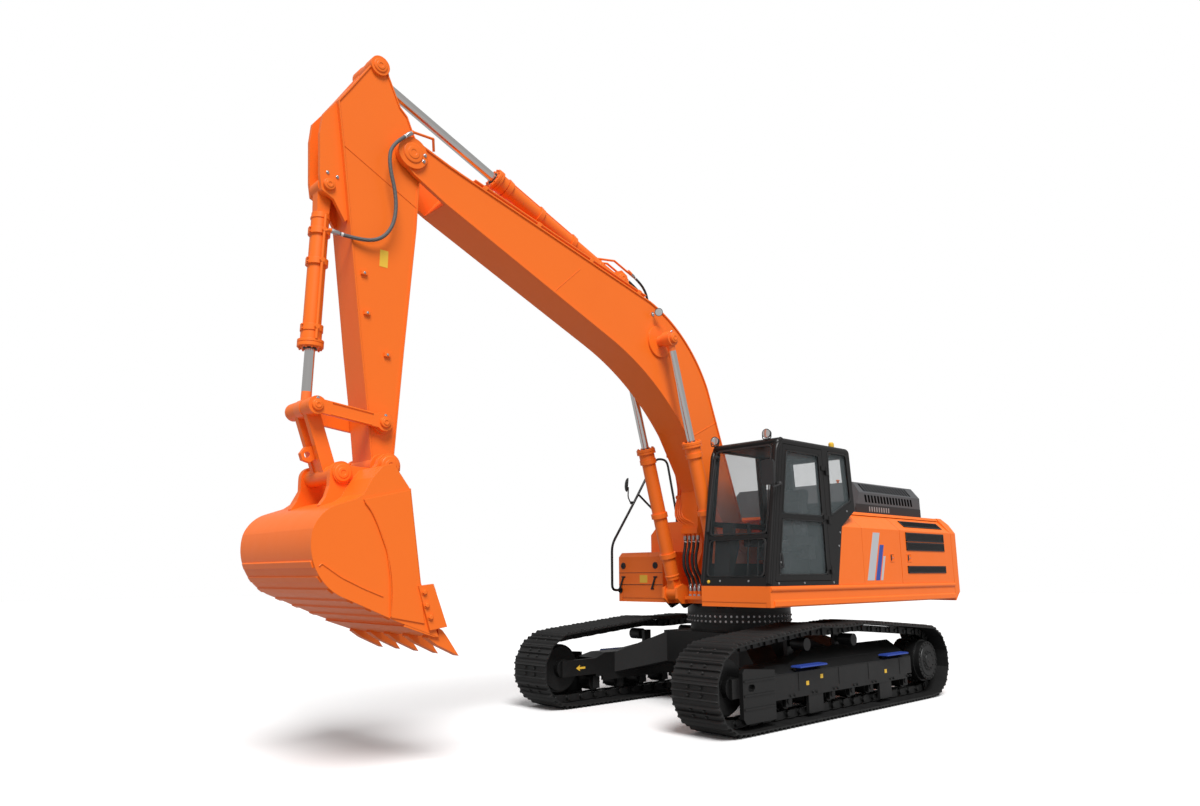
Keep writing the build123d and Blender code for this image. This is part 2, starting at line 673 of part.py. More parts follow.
door_plane = shifted(side_plane, house_half - wall / 2)
door_rail = 62.0    # width of the door's frame
door_split = 2205.0
upper_pane = [(door_rear + 30 + door_rail, door_split + 25),
              (pillar_x(door_split + 25) - door_front - door_rail, door_split + 25),
              (pillar_x(lintel - door_rail) - door_front - door_rail, lintel - door_rail),
              (door_rear + 60 + door_rail, lintel - door_rail)]
lower_pane = [(door_rear + door_rail, sill + door_rail),
              (pillar_x(sill + door_rail) - door_front - door_rail, sill + door_rail),
              (pillar_x(door_split - 25) - door_front - door_rail, door_split - 25),
              (door_rear + 20 + door_rail, door_split - 25)]
with BuildPart() as cab_door:
    slab(door_plane, door_outline, wall)
    for opening in (upper_pane, lower_pane):
        slab(door_plane, opening, 2 * wall, mode=Mode.SUBTRACT)
    for low in hinge_heights:
        block(hinge_x, hinge_x + 100, hinge_y - 9, hinge_y + 2, low, low + knuckle_long)
        block(hinge_x + 65, hinge_x + 100, house_half - 2, hinge_y - 2, low, low + knuckle_long)
        rod((hinge_x, hinge_y, low), (hinge_x, hinge_y, low + knuckle_long), 11)
save(cab_door.part, "cab_door")
with BuildPart() as door_glass:
    for opening in (upper_pane, lower_pane):
        with BuildSketch(shifted(side_plane, house_half - pane_inset - glass_thick / 2)) as face:
            with BuildLine():
                Polyline(*opening, close=True)
            make_face()
            offset(amount=-seat_gap, kind=Kind.INTERSECTION)
        extrude(to_extrude=face.sketch, amount=glass_thick / 2, both=True)
save(door_glass.part, "door_glass")

# seat, console and levers inside the cab
floor = skirt_high + wall + seat_gap
seat_y = cab_middle
seat_x = 330.0
seat_half = 240.0
with BuildPart() as seat_base:
    block(seat_x - 200, seat_x + 200, seat_y - 180, seat_y + 180, floor, 1830)
    for sign in (-1, 1):
        block(seat_x - 120, seat_x + 330, seat_y + sign * (seat_half + 30),
              seat_y + sign * (seat_half + 130), 1900, 2010)
        block(seat_x - 60, seat_x + 60, seat_y + sign * 150, seat_y + sign * (seat_half + 130), 1740, 1800)
        block(seat_x - 60, seat_x + 60, seat_y + sign * (seat_half + 30), seat_y + sign * (seat_half + 130),
              1799, 1901)
        rod((seat_x + 280, seat_y + sign * (seat_half + 80), 2005),
            (seat_x + 300, seat_y + sign * (seat_half + 80), 2180), 22)
save(seat_base.part, "seat_base")
with BuildPart() as seat_cushion:
    block(seat_x - 240, seat_x + 260, seat_y - seat_half + 10, seat_y + seat_half - 10, 1830 + seat_gap, 1960)
save(seat_cushion.part, "seat_cushion")
with BuildPart() as seat_back:
    slab(shifted(side_plane, seat_y), [(seat_x - 240, 1960 + seat_gap), (seat_x - 110, 1960 + seat_gap),
                                       (seat_x - 190, 2620),
                                       (seat_x - 300, 2620)], 2 * seat_half - 40)
save(seat_back.part, "seat_back")
with BuildPart() as console:
    slab(shifted(side_plane, cab_inner + wall + 110 + seat_gap),
         [(1120, floor), (1190, floor), (1130, 1960), (990, 2000), (960, 1900)], 2 * 110)
    block(1000, 1040, cab_inner + wall + 40, cab_inner + wall + 200, 1990, 2160)
    for sign in (-1, 1):
        rod((1010, cab_middle + sign * 70, floor + 6), (960, cab_middle + sign * 70, 2030), 12)
        block(900, 1060, cab_middle + sign * 70 - 55, cab_middle + sign * 70 + 55, floor, floor + 45)
save(console.part, "console")

# ------------------------------------------------------------- house panels
def side_strip(sign, rear, front, gap):
    """A length of side panel: upright up to the crease, then leaning in to the shoulder."""
    low = skirt_high + seat_gap
    profile = [(house_half, low), (house_half, crease_high), (shoulder_half, shoulder_high - 45),
               (shoulder_half - 50, shoulder_high - 45), (house_half - panel_thick, crease_high - 20),
               (house_half - panel_thick, low)]
    with BuildSketch(Plane.YZ.offset(rear + gap)) as section:
        with BuildLine():
            Polyline(*[(sign * y, z) for y, z in profile], close=True)
        make_face()
    extrude(to_extrude=section.sketch, amount=front - rear - 2 * gap)


with BuildPart() as front_panel:
    side_strip(1, panel_split[0], cab_foot, seat_gap)
    # it leans back along the cab's rear edge
    slab(shifted(side_plane, house_half), [(cab_foot + 20, skirt_high), (cab_foot - 3, skirt_high),
                                           (cab_foot_rise - 4, crease_high), (cab_back - 4, cab_back_low),
                                           (cab_foot + 20, cab_back_low)], 600, mode=Mode.SUBTRACT)
save(front_panel.part, "left_front_panel")

split_gap = 6.0
for name, sign, rear, front in (("left_front_door", 1, panel_split[1], panel_split[0]),
                                ("left_rear_door", 1, panel_split[2], panel_split[1]),
                                ("right_rear_door", -1, panel_split[2], panel_split[1]),
                                ("right_front_door", -1, panel_split[1], tank_rear)):
    with BuildPart() as side_door:
        side_strip(sign, rear, front, split_gap)
    save(side_door.part, name)

# fixed top deck of the house, with the hood's opening, and the walls that carry it
deck_plate = 38.0
deck_front = {1: panel_split[0] - 10, -1: tank_rear - split_gap}
with BuildPart() as top_deck:
    for sign in (-1, 1):
        with BuildSketch(Plane.YZ.offset(deck_rear)) as section:
            with BuildLine():
                Polyline((sign * (shoulder_half + 10), shoulder_high - deck_plate),
                         (sign * (shoulder_half - 10), shoulder_high),
                         (sign * (hood_half - 60), shoulder_high), (sign * (hood_half - 60),
                                                                    shoulder_high - deck_plate),
                         close=True)
            make_face()
        extrude(to_extrude=section.sketch, amount=deck_front[sign] - deck_rear)
    block(hood_front - 40, tank_rear - split_gap, -hood_half + 60, hood_half - 60,
          shoulder_high - deck_plate, shoulder_high)
    block(tank_rear - split_gap - 1, panel_split[0] - 10, -tank_inner + split_gap, hood_half - 60,
          shoulder_high - deck_plate, shoulder_high)
    block(deck_rear, deck_rear + 60, -hood_half + 60, hood_half - 60, shoulder_high - deck_plate,
          shoulder_high)
    for wall_x, right, left, low in (
            (panel_split[0] - 50, well_half + run_gap, shoulder_half - 60, deck_high + seat_gap),
            (tank_rear - 50, -shoulder_half + 60, -well_half - run_gap, deck_high + seat_gap),
            (panel_split[1] - 40, -shoulder_half + 60, shoulder_half - 60, bracket_high + seat_gap),
            (deck_rear + 30, -shoulder_half + 60, shoulder_half - 60, deck_high + seat_gap)):
        block(wall_x - 20, wall_x + 20, right, left, low, shoulder_high - deck_plate + 1)
save(top_deck.part, "top_deck")

with BuildPart() as hood:
    low = shoulder_high + seat_gap
    with BuildSketch(Plane.YZ.offset(deck_rear + 20)) as section:
        with BuildLine():
            Polyline((-hood_half, low), (-hood_half, hood_high - 150), (-hood_top_half, hood_high),
                     (hood_top_half, hood_high),
                     (hood_half, hood_high - 150), (hood_half, low), close=True)
        make_face()
    extrude(to_extrude=section.sketch, amount=hood_front - deck_rear - 20)
    slab(side_plane, [(hood_front, low - 1), (hood_front + 1, low - 1), (hood_front + 1, hood_high + 1),
                      (hood_front - 160, hood_high + 1)], 2 * hood_half + 10, mode=Mode.SUBTRACT)
    t = panel_thick
    with BuildSketch(Plane.YZ.offset(deck_rear + 20 + t)) as section:
        with BuildLine():
            Polyline((-hood_half + t, low - 1), (-hood_half + t, hood_high - 160),
                     (-hood_top_half + t / 2, hood_high - t),
                     (hood_top_half - t / 2, hood_high - t), (hood_half - t,
                                                              hood_high - 160), (hood_half - t, low - 1),
                     close=True)
        make_face()
    extrude(to_extrude=section.sketch, amount=hood_front - deck_rear - 20 - 2 * t - 160, mode=Mode.SUBTRACT)
save(hood.part, "hood")

# ------------------------------------------------------- tanks and front box
with BuildPart() as tank:
    with BuildSketch(Plane.YZ.offset(tank_rear)) as section:
        with BuildLine():
            Polyline((-house_half + skirt_thick + 1, deck_high + seat_gap),
                     (-house_half + skirt_thick + 1, skirt_high + seat_gap),
                     (-house_half, skirt_high + seat_gap), (-house_half, crease_high), (-shoulder_half,
                                                                                        shoulder_high - 45),
                     (-tank_inner, shoulder_high - 45), (-tank_inner, deck_high + seat_gap), close=True)
        make_face()
    extrude(to_extrude=section.sketch, amount=box_rear - tank_rear - seat_gap)
save(tank.part, "fuel_tank")

with BuildPart() as front_box:
    block(box_rear, box_front, -house_half, -box_inner, skirt_high + seat_gap, box_high)
    block(box_rear, box_front - 4, -house_half + skirt_thick + 1, -box_inner, deck_high + seat_gap,
          skirt_high + 1)
    chamfer(front_box.edges().filter_by(Axis.Y).group_by(Axis.Z)[-1].sort_by(Axis.X)[-1:], length=60)
save(front_box.part, "front_box")

with BuildPart() as engine:
    block(engine_rear, engine_front, -480, 480, bracket_high + seat_gap, engine_high)
save(engine.part, "engine_block")

# ------------------------------------------------------------ counterweight
weight_low = 1195.0
weight_high = 2350.0
socket_x = 280 - tail_radius
socket_y = 700.0
with BuildPart() as counterweight:
    corner_x = -(tail_radius ** 2 - house_half ** 2) ** 0.5
    with BuildSketch(Plane.XY.offset(weight_low)) as plan:
        with BuildLine():
            Polyline((corner_x, -house_half), (weight_front, -house_half), (weight_front, house_half),
                     (corner_x, house_half))
            ThreePointArc((corner_x, house_half), (-tail_radius, 0), (corner_x, -house_half))
        make_face()
    extrude(to_extrude=plan.sketch, amount=weight_high - weight_low)
    for sign in (-1, 1):
        with BuildSketch(Plane.YZ.offset(-tail_radius - 50)) as bevel:
            with BuildLine():
                Polyline((sign * (house_half + 1), crease_high), (sign * (house_half + 1), weight_high + 1),
                         (sign * (shoulder_half - 10), weight_high + 1), close=True)
            make_face()
        extrude(to_extrude=bevel.sketch, amount=1000, mode=Mode.SUBTRACT)
    chamfer(counterweight.faces().sort_by(Axis.Z)[-1].edges().sort_by(Axis.X)[0:1], length=90)
    chamfer(counterweight.faces().sort_by(Axis.Z)[0].edges().sort_by(Axis.X)[0:1], length=120)
    # two sockets for lifting eyes
    for sign in (-1, 1):
        with BuildSketch(Plane.XY.offset(weight_high)) as socket:
            with Locations((socket_x, sign * socket_y)):
                Circle(30)
        extrude(to_extrude=socket.sketch, amount=-120, mode=Mode.SUBTRACT)
save(counterweight.part, "counterweight")

# ------------------------------------------------------------------ handrail
rail_radius = 17.0
rail_y = -house_half + skirt_thick / 2
rail_points = [(box_front + seat_gap, rail_y, 1370), (870, rail_y, 1370), (870, rail_y, 1980),
               (400, rail_y, 2620),
               (-40, rail_y, 3250), (-280, rail_y, 3250), (-280, -shoulder_half + 20, 2420),
               (-280, -shoulder_half + 20, tank_high + seat_gap)]
with BuildPart() as handrail:
    with BuildLine() as rail_path:
        FilletPolyline(*rail_points, radius=60)
    with BuildSketch(Plane(origin=rail_points[0], z_dir=(1, 0, 0))):
        Circle(rail_radius)
    sweep()
    # brace from the slope down to the tank
    rod((340, rail_y, 2702), (20, -shoulder_half + 20, tank_high + 40), rail_radius - 3)
    rod((20, -shoulder_half + 20, tank_high + seat_gap), (20, -shoulder_half + 20, tank_high + 45),
        rail_radius)
save(handrail.part, "handrail")

left_mirror_x = 1420.0
right_mirror_y = rail_y - rail_radius - seat_gap
with BuildPart() as mirrors:
    # on the handrail, over the right front box
    rod((430, right_mirror_y, 2579), (430, right_mirror_y - 40, 2579), 10)
    rod((430, right_mirror_y - 35, 2572), (515, right_mirror_y - 35, 2740), 9)
    rod((500, right_mirror_y - 35, 2830), (535, right_mirror_y - 30, 2835), 100)
    # on the cab's front pillar
    mount_x = pillar_x(2560) - 40
    rod((mount_x, house_half + seat_gap, 2560), (mount_x, house_half + 60, 2560), 14)
    rod((mount_x, house_half + 50, 2560), (left_mirror_x + 20, house_half + 110, 2600), 10)
    block(left_mirror_x, left_mirror_x + 35, house_half + 20, house_half + 190, 2520, 2790)
save(mirrors.part, "mirrors")

with BuildPart() as work_lamps:
    for y in (cab_inner + 90, house_half - 90):
        block(cab_top_front - 150, cab_top_front - 110, y - 20, y + 20, cab_roof + seat_gap, cab_roof + 45)
        rod((cab_top_front - 160, y, cab_roof + 85), (cab_top_front - 70, y, cab_roof + 75), 50)
    # beacon and horn stub at the back of the roof
    rod((cab_top_rear + 160, house_half - 160, cab_roof + seat_gap),
        (cab_top_rear + 160, house_half - 160, cab_roof + 90), 42)
save(work_lamps.part, "roof_lamps")

# --------------------------------------------------------------------- boom
def outlined(frame, start, steps, inwards=0.0):
    """A face from straight steps, (x, y), and arcs, ((through), (end)), moved inwards all round."""
    with BuildSketch(frame) as face:
        with BuildLine():
            here = start
            for step in steps:
                if isinstance(step[0], tuple):
                    ThreePointArc(here, step[0], step[1])
                    here = step[1]
                else:
                    Line(here, step)
                    here = step
            Line(here, start)
        make_face()
        if inwards:
            offset(amount=-inwards, kind=Kind.ARC)
    return face.sketch


tip_boss = 160.0
fork_depth = 560.0
fork_half = arm_half + run_gap + 1
rim = 18.0
lift_ring = 200.0
boom_bend_top = ((1550, 1212), (2280, 1434), (2960, 1365))
boom_bend_low = ((3180, 472), (2400, 566), (1560, 450))
boom_start = (-90, 128)
boom_steps = [boom_bend_top[0], (boom_bend_top[1], boom_bend_top[2]), (boom_length - 480, 330),
              (boom_length - 330, 275), (boom_length + 60, 148), (boom_length + 150, 0), (boom_length + 60,
                                                                                          -148),
              (boom_length - 150, -150), (boom_length - 570, -85), boom_bend_low[0],
              (boom_bend_low[1], boom_bend_low[2]), (60, -150), (-120, -90)]
lift_place = local(boom_frame, lift_rod)
crowd_place = local(boom_frame, crowd_foot)
crowd_eye_half = 98.0
crowd_ear_thick = 44.0
with BuildPart() as boom:
    extrude(to_extrude=outlined(boom_frame, boom_start, boom_steps), amount=boom_half, both=True)
    # the side plates stand back between the top and bottom plates
    for sign in (-1, 1):
        recess = shifted(boom_frame, sign * (boom_half - plate_lip))
        side_face = outlined(recess, boom_start, boom_steps, inwards=rim)
        extrude(to_extrude=side_face, amount=-sign * 60, mode=Mode.SUBTRACT)
    # fork for the arm
    fork_from = boom_length - fork_depth
    slab(boom_frame, [(fork_from, -400), (boom_length + 400, -400), (boom_length + 400, 600),
                      (fork_from, 600)],
         2 * fork_half, mode=Mode.SUBTRACT)
    for sign in (-1, 1):
        tip_plane = shifted(boom_frame, sign * (fork_half + (boom_half + 20 - fork_half) / 2))
        disc(tip_plane, (boom_length, 0), tip_boss, boom_half + 20 - fork_half)
        ring_plane = shifted(boom_frame, sign * (boom_half - plate_lip / 2))
        disc(ring_plane, lift_place, lift_ring, plate_lip + 16)
    disc(boom_frame, (0, 0), foot_boss, 2 * (boom_half + plate_lip))
    # ears of the crowd cylinder
    for sign in (-1, 1):
        ear_plane = shifted(boom_frame, sign * (crowd_eye_half + pin_gap + crowd_ear_thick / 2))
        slab(ear_plane, [(crowd_place[0] - 420, 1270), (crowd_place[0] - 130, crowd_place[1] + 40),
                         (crowd_place[0] - 40, crowd_place[1] + 100), (crowd_place[0] + 60,
                                                                       crowd_place[1] + 85),
                         (crowd_place[0] + 150, crowd_place[1] - 70), (crowd_place[0] + 300,
                                                                       1010), (crowd_place[0], 1000)],
             crowd_ear_thick)
        cap_plane = shifted(boom_frame, sign * (crowd_eye_half + crowd_ear_thick + 10))
        disc(cap_plane, crowd_place, 62, 22)
    # lower fittings of the crowd cylinder's hoses
    for route in crowd_routes():
        ferrule(route[::-1], 22, 75)
save(boom.part, "boom")


def top_edge(along):
    """Height of the boom's top plate along its straight front part."""
    (x0, y0), (x1, y1) = boom_bend_top[2], (boom_length - 480, 330)
    return y0 + (y1 - y0) * (along - x0) / (x1 - x0)


with BuildPart() as boom_lines:
    # two steel lines along each edge of the top plate, with their clamps
    for sign in (-1, 1):
        for y in (sign * 184, sign * 211):
            begin, finish = 3050, boom_length - 620
            lift = line_radius + 22
            low_end = boom_frame.from_local_coords(Vector(begin, top_edge(begin) + lift, -y))
            high_end = boom_frame.from_local_coords(Vector(finish, top_edge(finish) + lift, -y))
            rod(low_end, high_end, line_radius)
        for along in (3150, 3900, 4650, 5350):
            low = top_edge(along)
            slab(shifted(boom_frame, sign * 198), [(along - 25, low + 10 + seat_gap),
                                                   (along + 25, low - 10 + seat_gap),
                                                   (along + 25, low + 44), (along - 25, low + 60)], 54)
    # bracket under the boom with the block where the steel lines end and the hoses start
    slab(shifted(side_plane, -110), [(714, 2080), (806, 2080), (806, 2150), (790, 2150), (790, 2900), (730, 2900),
                                     (730, 2150), (714, 2150)], 264)
    extrude(to_extrude=outlined(boom_frame, boom_start, boom_steps), amount=300, both=True,
            mode=Mode.SUBTRACT)
    for route in main_routes():
        ferrule(route, 26, 40)
    # end of the line that feeds the hose at the tip, past the boss on the left
    tip_end = Vector(*tip_route[0])
    ferrule(tip_route, 20, 50)
    rod(tip_end + (-30, 0, 30), (tip_end.X - 260, tip_end.Y, tip_end.Z + 40), line_radius)
    rod((tip_end.X - 255, tip_end.Y + 5, tip_end.Z + 42), (tip_end.X - 300, 211, tip_end.Z - 60), line_radius)
save(boom_lines.part, "boom_lines")

with BuildPart() as boom_lamp:
    lamp_at = spot(boom_frame, (2830, 1270))
    rod((lamp_at[0], boom_half - plate_lip + seat_gap, lamp_at[1]),
        (lamp_at[0], boom_half + 60, lamp_at[1]), 12)
    block(lamp_at[0] - 30, lamp_at[0] + 50, boom_half + 50, boom_half + 150, lamp_at[1] - 50, lamp_at[1] + 50)
save(boom_lamp.part, "boom_lamp")


# ---------------------------------------------------------------- cylinders
def barrel(foot, end, y, eye_radius, eye_half, radius, bore, long, neck):
    """A cylinder's barrel with its foot eye, the neck above it and its gland, bored for the rod."""
    frame = shifted(frame_along(foot, end), y)
    disc(frame, (0, 0), eye_radius, 2 * eye_half)
    slab(frame, [(0, -0.8 * eye_radius), (neck + 30, -0.7 * radius), (neck + 30, 0.7 * radius),
                 (0, 0.8 * eye_radius)],
         2 * min(eye_half, 0.65 * radius))
    for low, high, wide in ((neck, long - 150, radius), (long - 150, long, radius + 12)):
        start = frame.from_local_coords(Vector(low, 0, 0))
        finish = frame.from_local_coords(Vector(high, 0, 0))
        rod(start, finish, wide)
    start = frame.from_local_coords(Vector(neck + 20, 0, 0))
    finish = frame.from_local_coords(Vector(long + 1, 0, 0))
    rod(start, finish, bore + pin_gap, mode=Mode.SUBTRACT)


def barrel_line(foot, end, y, side, up, low, high, radius, clamps):
    """A steel line beside a barrel, with the clamps that hold it."""
    frame = shifted(frame_along(foot, end), y)
    rod(frame.from_local_coords(Vector(low, up, -side)), frame.from_local_coords(Vector(high, up, -side)),
        line_radius)
    for along in clamps:
        with BuildSketch(Plane(origin=frame.from_local_coords(Vector(along - 22, 0, 0)),
                               z_dir=frame.x_dir)) as ring:
            Circle(radius + 16)
            Circle(radius - 10, mode=Mode.SUBTRACT)
        extrude(to_extrude=ring.sketch, amount=44)
        rod(frame.from_local_coords(Vector(along, 0.8 * up, -0.8 * side)),
            frame.from_local_coords(Vector(along, 1.12 * up, -1.12 * side)), 22)


def piston_rod(foot, end, y, eye_radius, eye_half, radius, inside):
    """A rod from inside its barrel to its eye."""
    frame = shifted(frame_along(foot, end), y)
    reach = hypot(end[0] - foot[0], end[1] - foot[1])
    start = frame.from_local_coords(Vector(inside, 0, 0))
    finish = frame.from_local_coords(Vector(reach - eye_radius + 20, 0, 0))
    rod(start, finish, radius)
    disc(frame, (reach, 0), eye_radius, 2 * eye_half)


lift_rod_radius = 48.0
lift_barrel_long = 1860.0
lift_inside = 1330.0
lift_eye_half = lift_ear_half - lift_ear_thick / 2 - pin_gap
with BuildPart() as lift_barrels:
    for sign in (-1, 1):
        barrel(lift_foot, lift_rod, sign * lift_y, 95, lift_eye_half, 86, lift_rod_radius, lift_barrel_long,
               175)
        barrel_line(lift_foot, lift_rod, sign * lift_y, 0, 112, 420, lift_barrel_long - 60, 86,
                    (480, 1000, 1700))
save(lift_barrels.part, "lift_barrels")
with BuildPart() as lift_rods:
    for sign in (-1, 1):
        piston_rod(lift_foot, lift_rod, sign * lift_y, 92, 60, lift_rod_radius, lift_inside)
        inner = boom_half + 9 + pin_gap
        boss_plane = shifted(side_plane, sign * (inner + (lift_y - 60 - inner + 1) / 2))
        disc(boss_plane, lift_rod, 70, lift_y - 60 - inner + 1)
        cap_plane = shifted(side_plane, sign * (lift_y + 60 + 10))
        disc(cap_plane, lift_rod, 66, 22)
save(lift_rods.part, "lift_rods")

crowd_rod_radius = 52.0
crowd_barrel_long = 1950.0
crowd_inside = 1370.0
with BuildPart() as crowd_barrel:
    barrel(crowd_foot, crowd_rod, 0, 92, crowd_eye_half, 90, crowd_rod_radius, crowd_barrel_long, 270)
    # lines on top of the barrel, bent over its eye to the hoses
    crowd_line = frame_along(crowd_foot, crowd_rod)
    for route, side in zip(crowd_routes(), (62, -62)):
        ferrule(route, 22, 60)
        start = crowd_line.to_local_coords(Vector(*route[0]))
        knee = [(start.X + 50, start.Y - 12), (130, 200), (330, 78), (360, 60)]
        for (ax, az), (bx, bz) in zip(knee, knee[1:]):
            rod(crowd_line.from_local_coords(Vector(ax, az, -side)),
                crowd_line.from_local_coords(Vector(bx, bz, -side)), line_radius)
            with Locations(crowd_line.from_local_coords(Vector(bx, bz, -side))):
                Sphere(line_radius)
    barrel_line(crowd_foot, crowd_rod, 0, 0, 118, 700, crowd_barrel_long - 60, 90, (760, 1280, 1760))
save(crowd_barrel.part, "crowd_barrel")
crowd_rod_eye_half = 62.0
with BuildPart() as crowd_piston:
    piston_rod(crowd_foot, crowd_rod, 0, 95, crowd_rod_eye_half, crowd_rod_radius, crowd_inside)
save(crowd_piston.part, "crowd_rod")

# ---------------------------------------------------------------------- arm
arm_end_boss = 120.0
arm_end_half = 195.0
top_place = local(arm_frame, crowd_rod)
arm_start = (top_place[0] + 15, top_place[1] + 85)
arm_steps = [(-417, 681), (-253, 773), (223, 670), (2067, 300), (link_pin[0] - 160, link_pin[1] + 165),
             (arm_length - 90, 110), (arm_length + 60, 90), (arm_length + 60, -95), (arm_length - 60,
                                                                                     -118), (1966, -126),
             (744, -146), (264, -133), (-120, -105), (-232, -29), (-398, 59), (-464,
                                                                               143), (top_place[0] + 60, top_place[1] - 110),
             (top_place[0] - 70, top_place[1] - 60), (top_place[0] - 90, top_place[1] + 20)]
curl_eye_half = 88.0
curl_ear_thick = 40.0
slot_half = crowd_rod_eye_half + pin_gap + 1
with BuildPart() as arm:
    extrude(to_extrude=outlined(arm_frame, arm_start, arm_steps), amount=arm_half, both=True)
    for sign in (-1, 1):
        recess = shifted(arm_frame, sign * (arm_half - 10))
        side_face = outlined(recess, arm_start, arm_steps, inwards=rim - 4)
        extrude(to_extrude=side_face, amount=-sign * 60, mode=Mode.SUBTRACT)
    # slot for the crowd cylinder's eye
    slab(arm_frame, [(-1100, -300), (-420, -300), (-420, 560), (-560, 700), (-1100, 700)], 2 * slot_half,
         mode=Mode.SUBTRACT)
    disc(arm_frame, (arm_length, 0), arm_end_boss, 2 * arm_end_half)
    disc(arm_frame, link_pin, 98, 2 * (link_inner - pin_gap))
    disc(arm_frame, (0, 0), 130, 2 * (fork_half - pin_gap))
    for sign in (-1, 1):
        boss_plane = shifted(arm_frame, sign * (slot_half + (arm_half + 18 - slot_half) / 2))
        disc(boss_plane, top_place, 100, arm_half + 18 - slot_half)
        ear_plane = shifted(arm_frame, sign * (curl_eye_half + pin_gap + curl_ear_thick / 2))
        slab(ear_plane, [(-200, 640), (-253, 770), (-67, 884), (120, 890),
                         (curl_foot[0] - 60, curl_foot[1] + 92),
                         (curl_foot[0] + 70, curl_foot[1] + 62), (curl_foot[0] + 120, curl_foot[1] - 60),
                         (curl_foot[0] + 300, curl_foot[1] - 190), (curl_foot[0] + 200,
                                                                    curl_foot[1] - 260)], curl_ear_thick)
        cap_plane = shifted(arm_frame, sign * (curl_eye_half + curl_ear_thick + 8))
        disc(cap_plane, curl_foot, 58, 18)
save(arm.part, "arm")

curl_top = spot(arm_frame, curl_foot)
curl_end = spot(arm_frame, rocker_pin)
curl_rod_radius = 45.0
curl_barrel_long = 1512.0
curl_inside = 640.0
with BuildPart() as curl_barrel:
    barrel(curl_top, curl_end, 0, 88, curl_eye_half, 80, curl_rod_radius, curl_barrel_long, 250)
    barrel_line(curl_top, curl_end, 0, 110, 0, 290, curl_barrel_long - 60, 80, (430, 720, 1340))
    # elbow that takes the hose from the boom's tip
    ferrule(tip_route[::-1], 20, 45)
    elbow = Vector(*tip_route[-1])
    rod(elbow + (35, -6, 6), (curl_top[0], 112, elbow.Z + 6), line_radius)
save(curl_barrel.part, "curl_barrel")
curl_rod_eye_half = 60.0
with BuildPart() as curl_piston:
    piston_rod(curl_top, curl_end, 0, 84, curl_rod_eye_half, curl_rod_radius, curl_inside)
save(curl_piston.part, "curl_rod")

# ------------------------------------------------------------------ linkage
with BuildPart() as side_links:
    for sign in (-1, 1):
        link_plane = shifted(arm_frame, sign * (link_inner + link_thick / 2))
        bar(link_plane, link_pin, rocker_pin, 60, link_thick)
        for place in (link_pin, rocker_pin):
            disc(link_plane, place, 80, link_thick)
            cap_plane = shifted(arm_frame, sign * (link_inner + link_thick + 4))
            disc(cap_plane, place, 52, 10)
save(side_links.part, "side_links")

with BuildPart() as bucket_link:
    link_frame = frame_along(curl_end, spot(arm_frame, ear_pin))
    link_long = hypot(spot(arm_frame, ear_pin)[0] - curl_end[0], spot(arm_frame, ear_pin)[1] - curl_end[1])
    cheek_in = curl_rod_eye_half + pin_gap
    cheek_out = link_inner - pin_gap
    for sign in (-1, 1):
        cheek = shifted(link_frame, sign * (cheek_in + 30))
        bar(cheek, (0, 0), (link_long, 0), 62, 60)
        boss = shifted(link_frame, sign * (cheek_in + cheek_out) / 2)
        disc(boss, (0, 0), 80, cheek_out - cheek_in)
    slab(link_frame, [(330, -50), (link_long - 40, -50), (link_long - 40, 50), (330, 50)], 2 * cheek_in + 20)
    disc(link_frame, (link_long, 0), 78, 2 * (ear_inner - pin_gap))
    # plate with the lifting eye
    slab(link_frame, [(330, 40), (440, 40), (460, 110), (420, 165), (360, 165), (320, 110)], 50)
    disc(link_frame, (388, 112), 26, 80, mode=Mode.SUBTRACT)
save(bucket_link.part, "bucket_link")

# ------------------------------------------------------------------- bucket
side_thick = 34.0
shell_thick = 28.0
ear_place = local(bucket_frame, spot(arm_frame, ear_pin))
lip_place = (bucket_reach - 225, 158)
lip_outline = [(lip_place[0] + 6, lip_place[1] - 8), (lip_place[0] - 20, lip_place[1] + 45),
               (lip_place[0] - 200, lip_place[1] + 285), (lip_place[0] - 235, lip_place[1] + 250)]
back_start = (216, 81)
back_steps = [(600, 140), (1000, 200), lip_place, (1225, 490), (905, 862), ((540, 1048), (300, 985)),
              ((215, 890), (176, 745)), (172, 560)]
hollow_start = (246, 60)
hollow_steps = [(600, 60), (1000, 60), (lip_place[0] + 60, 60), (lip_place[0] - 25, 158), (1203, 474),
                (886, 841),
                ((535, 1020), (318, 965)), ((243, 880), (206, 738)), (204, 560)]
shoulder_outline = [(232, 84), (-25, 181), (-26, 286), (42, 395), (150, 505), (180, 600), (205, 540)]
strip_start = (226, 96)
strip_steps = [(600, 152), (1000, 214), (1325, 262), (1171, 541), ((661, 433), (194, 525))]
strip_thick = 10.0
cutter_thick = 24.0
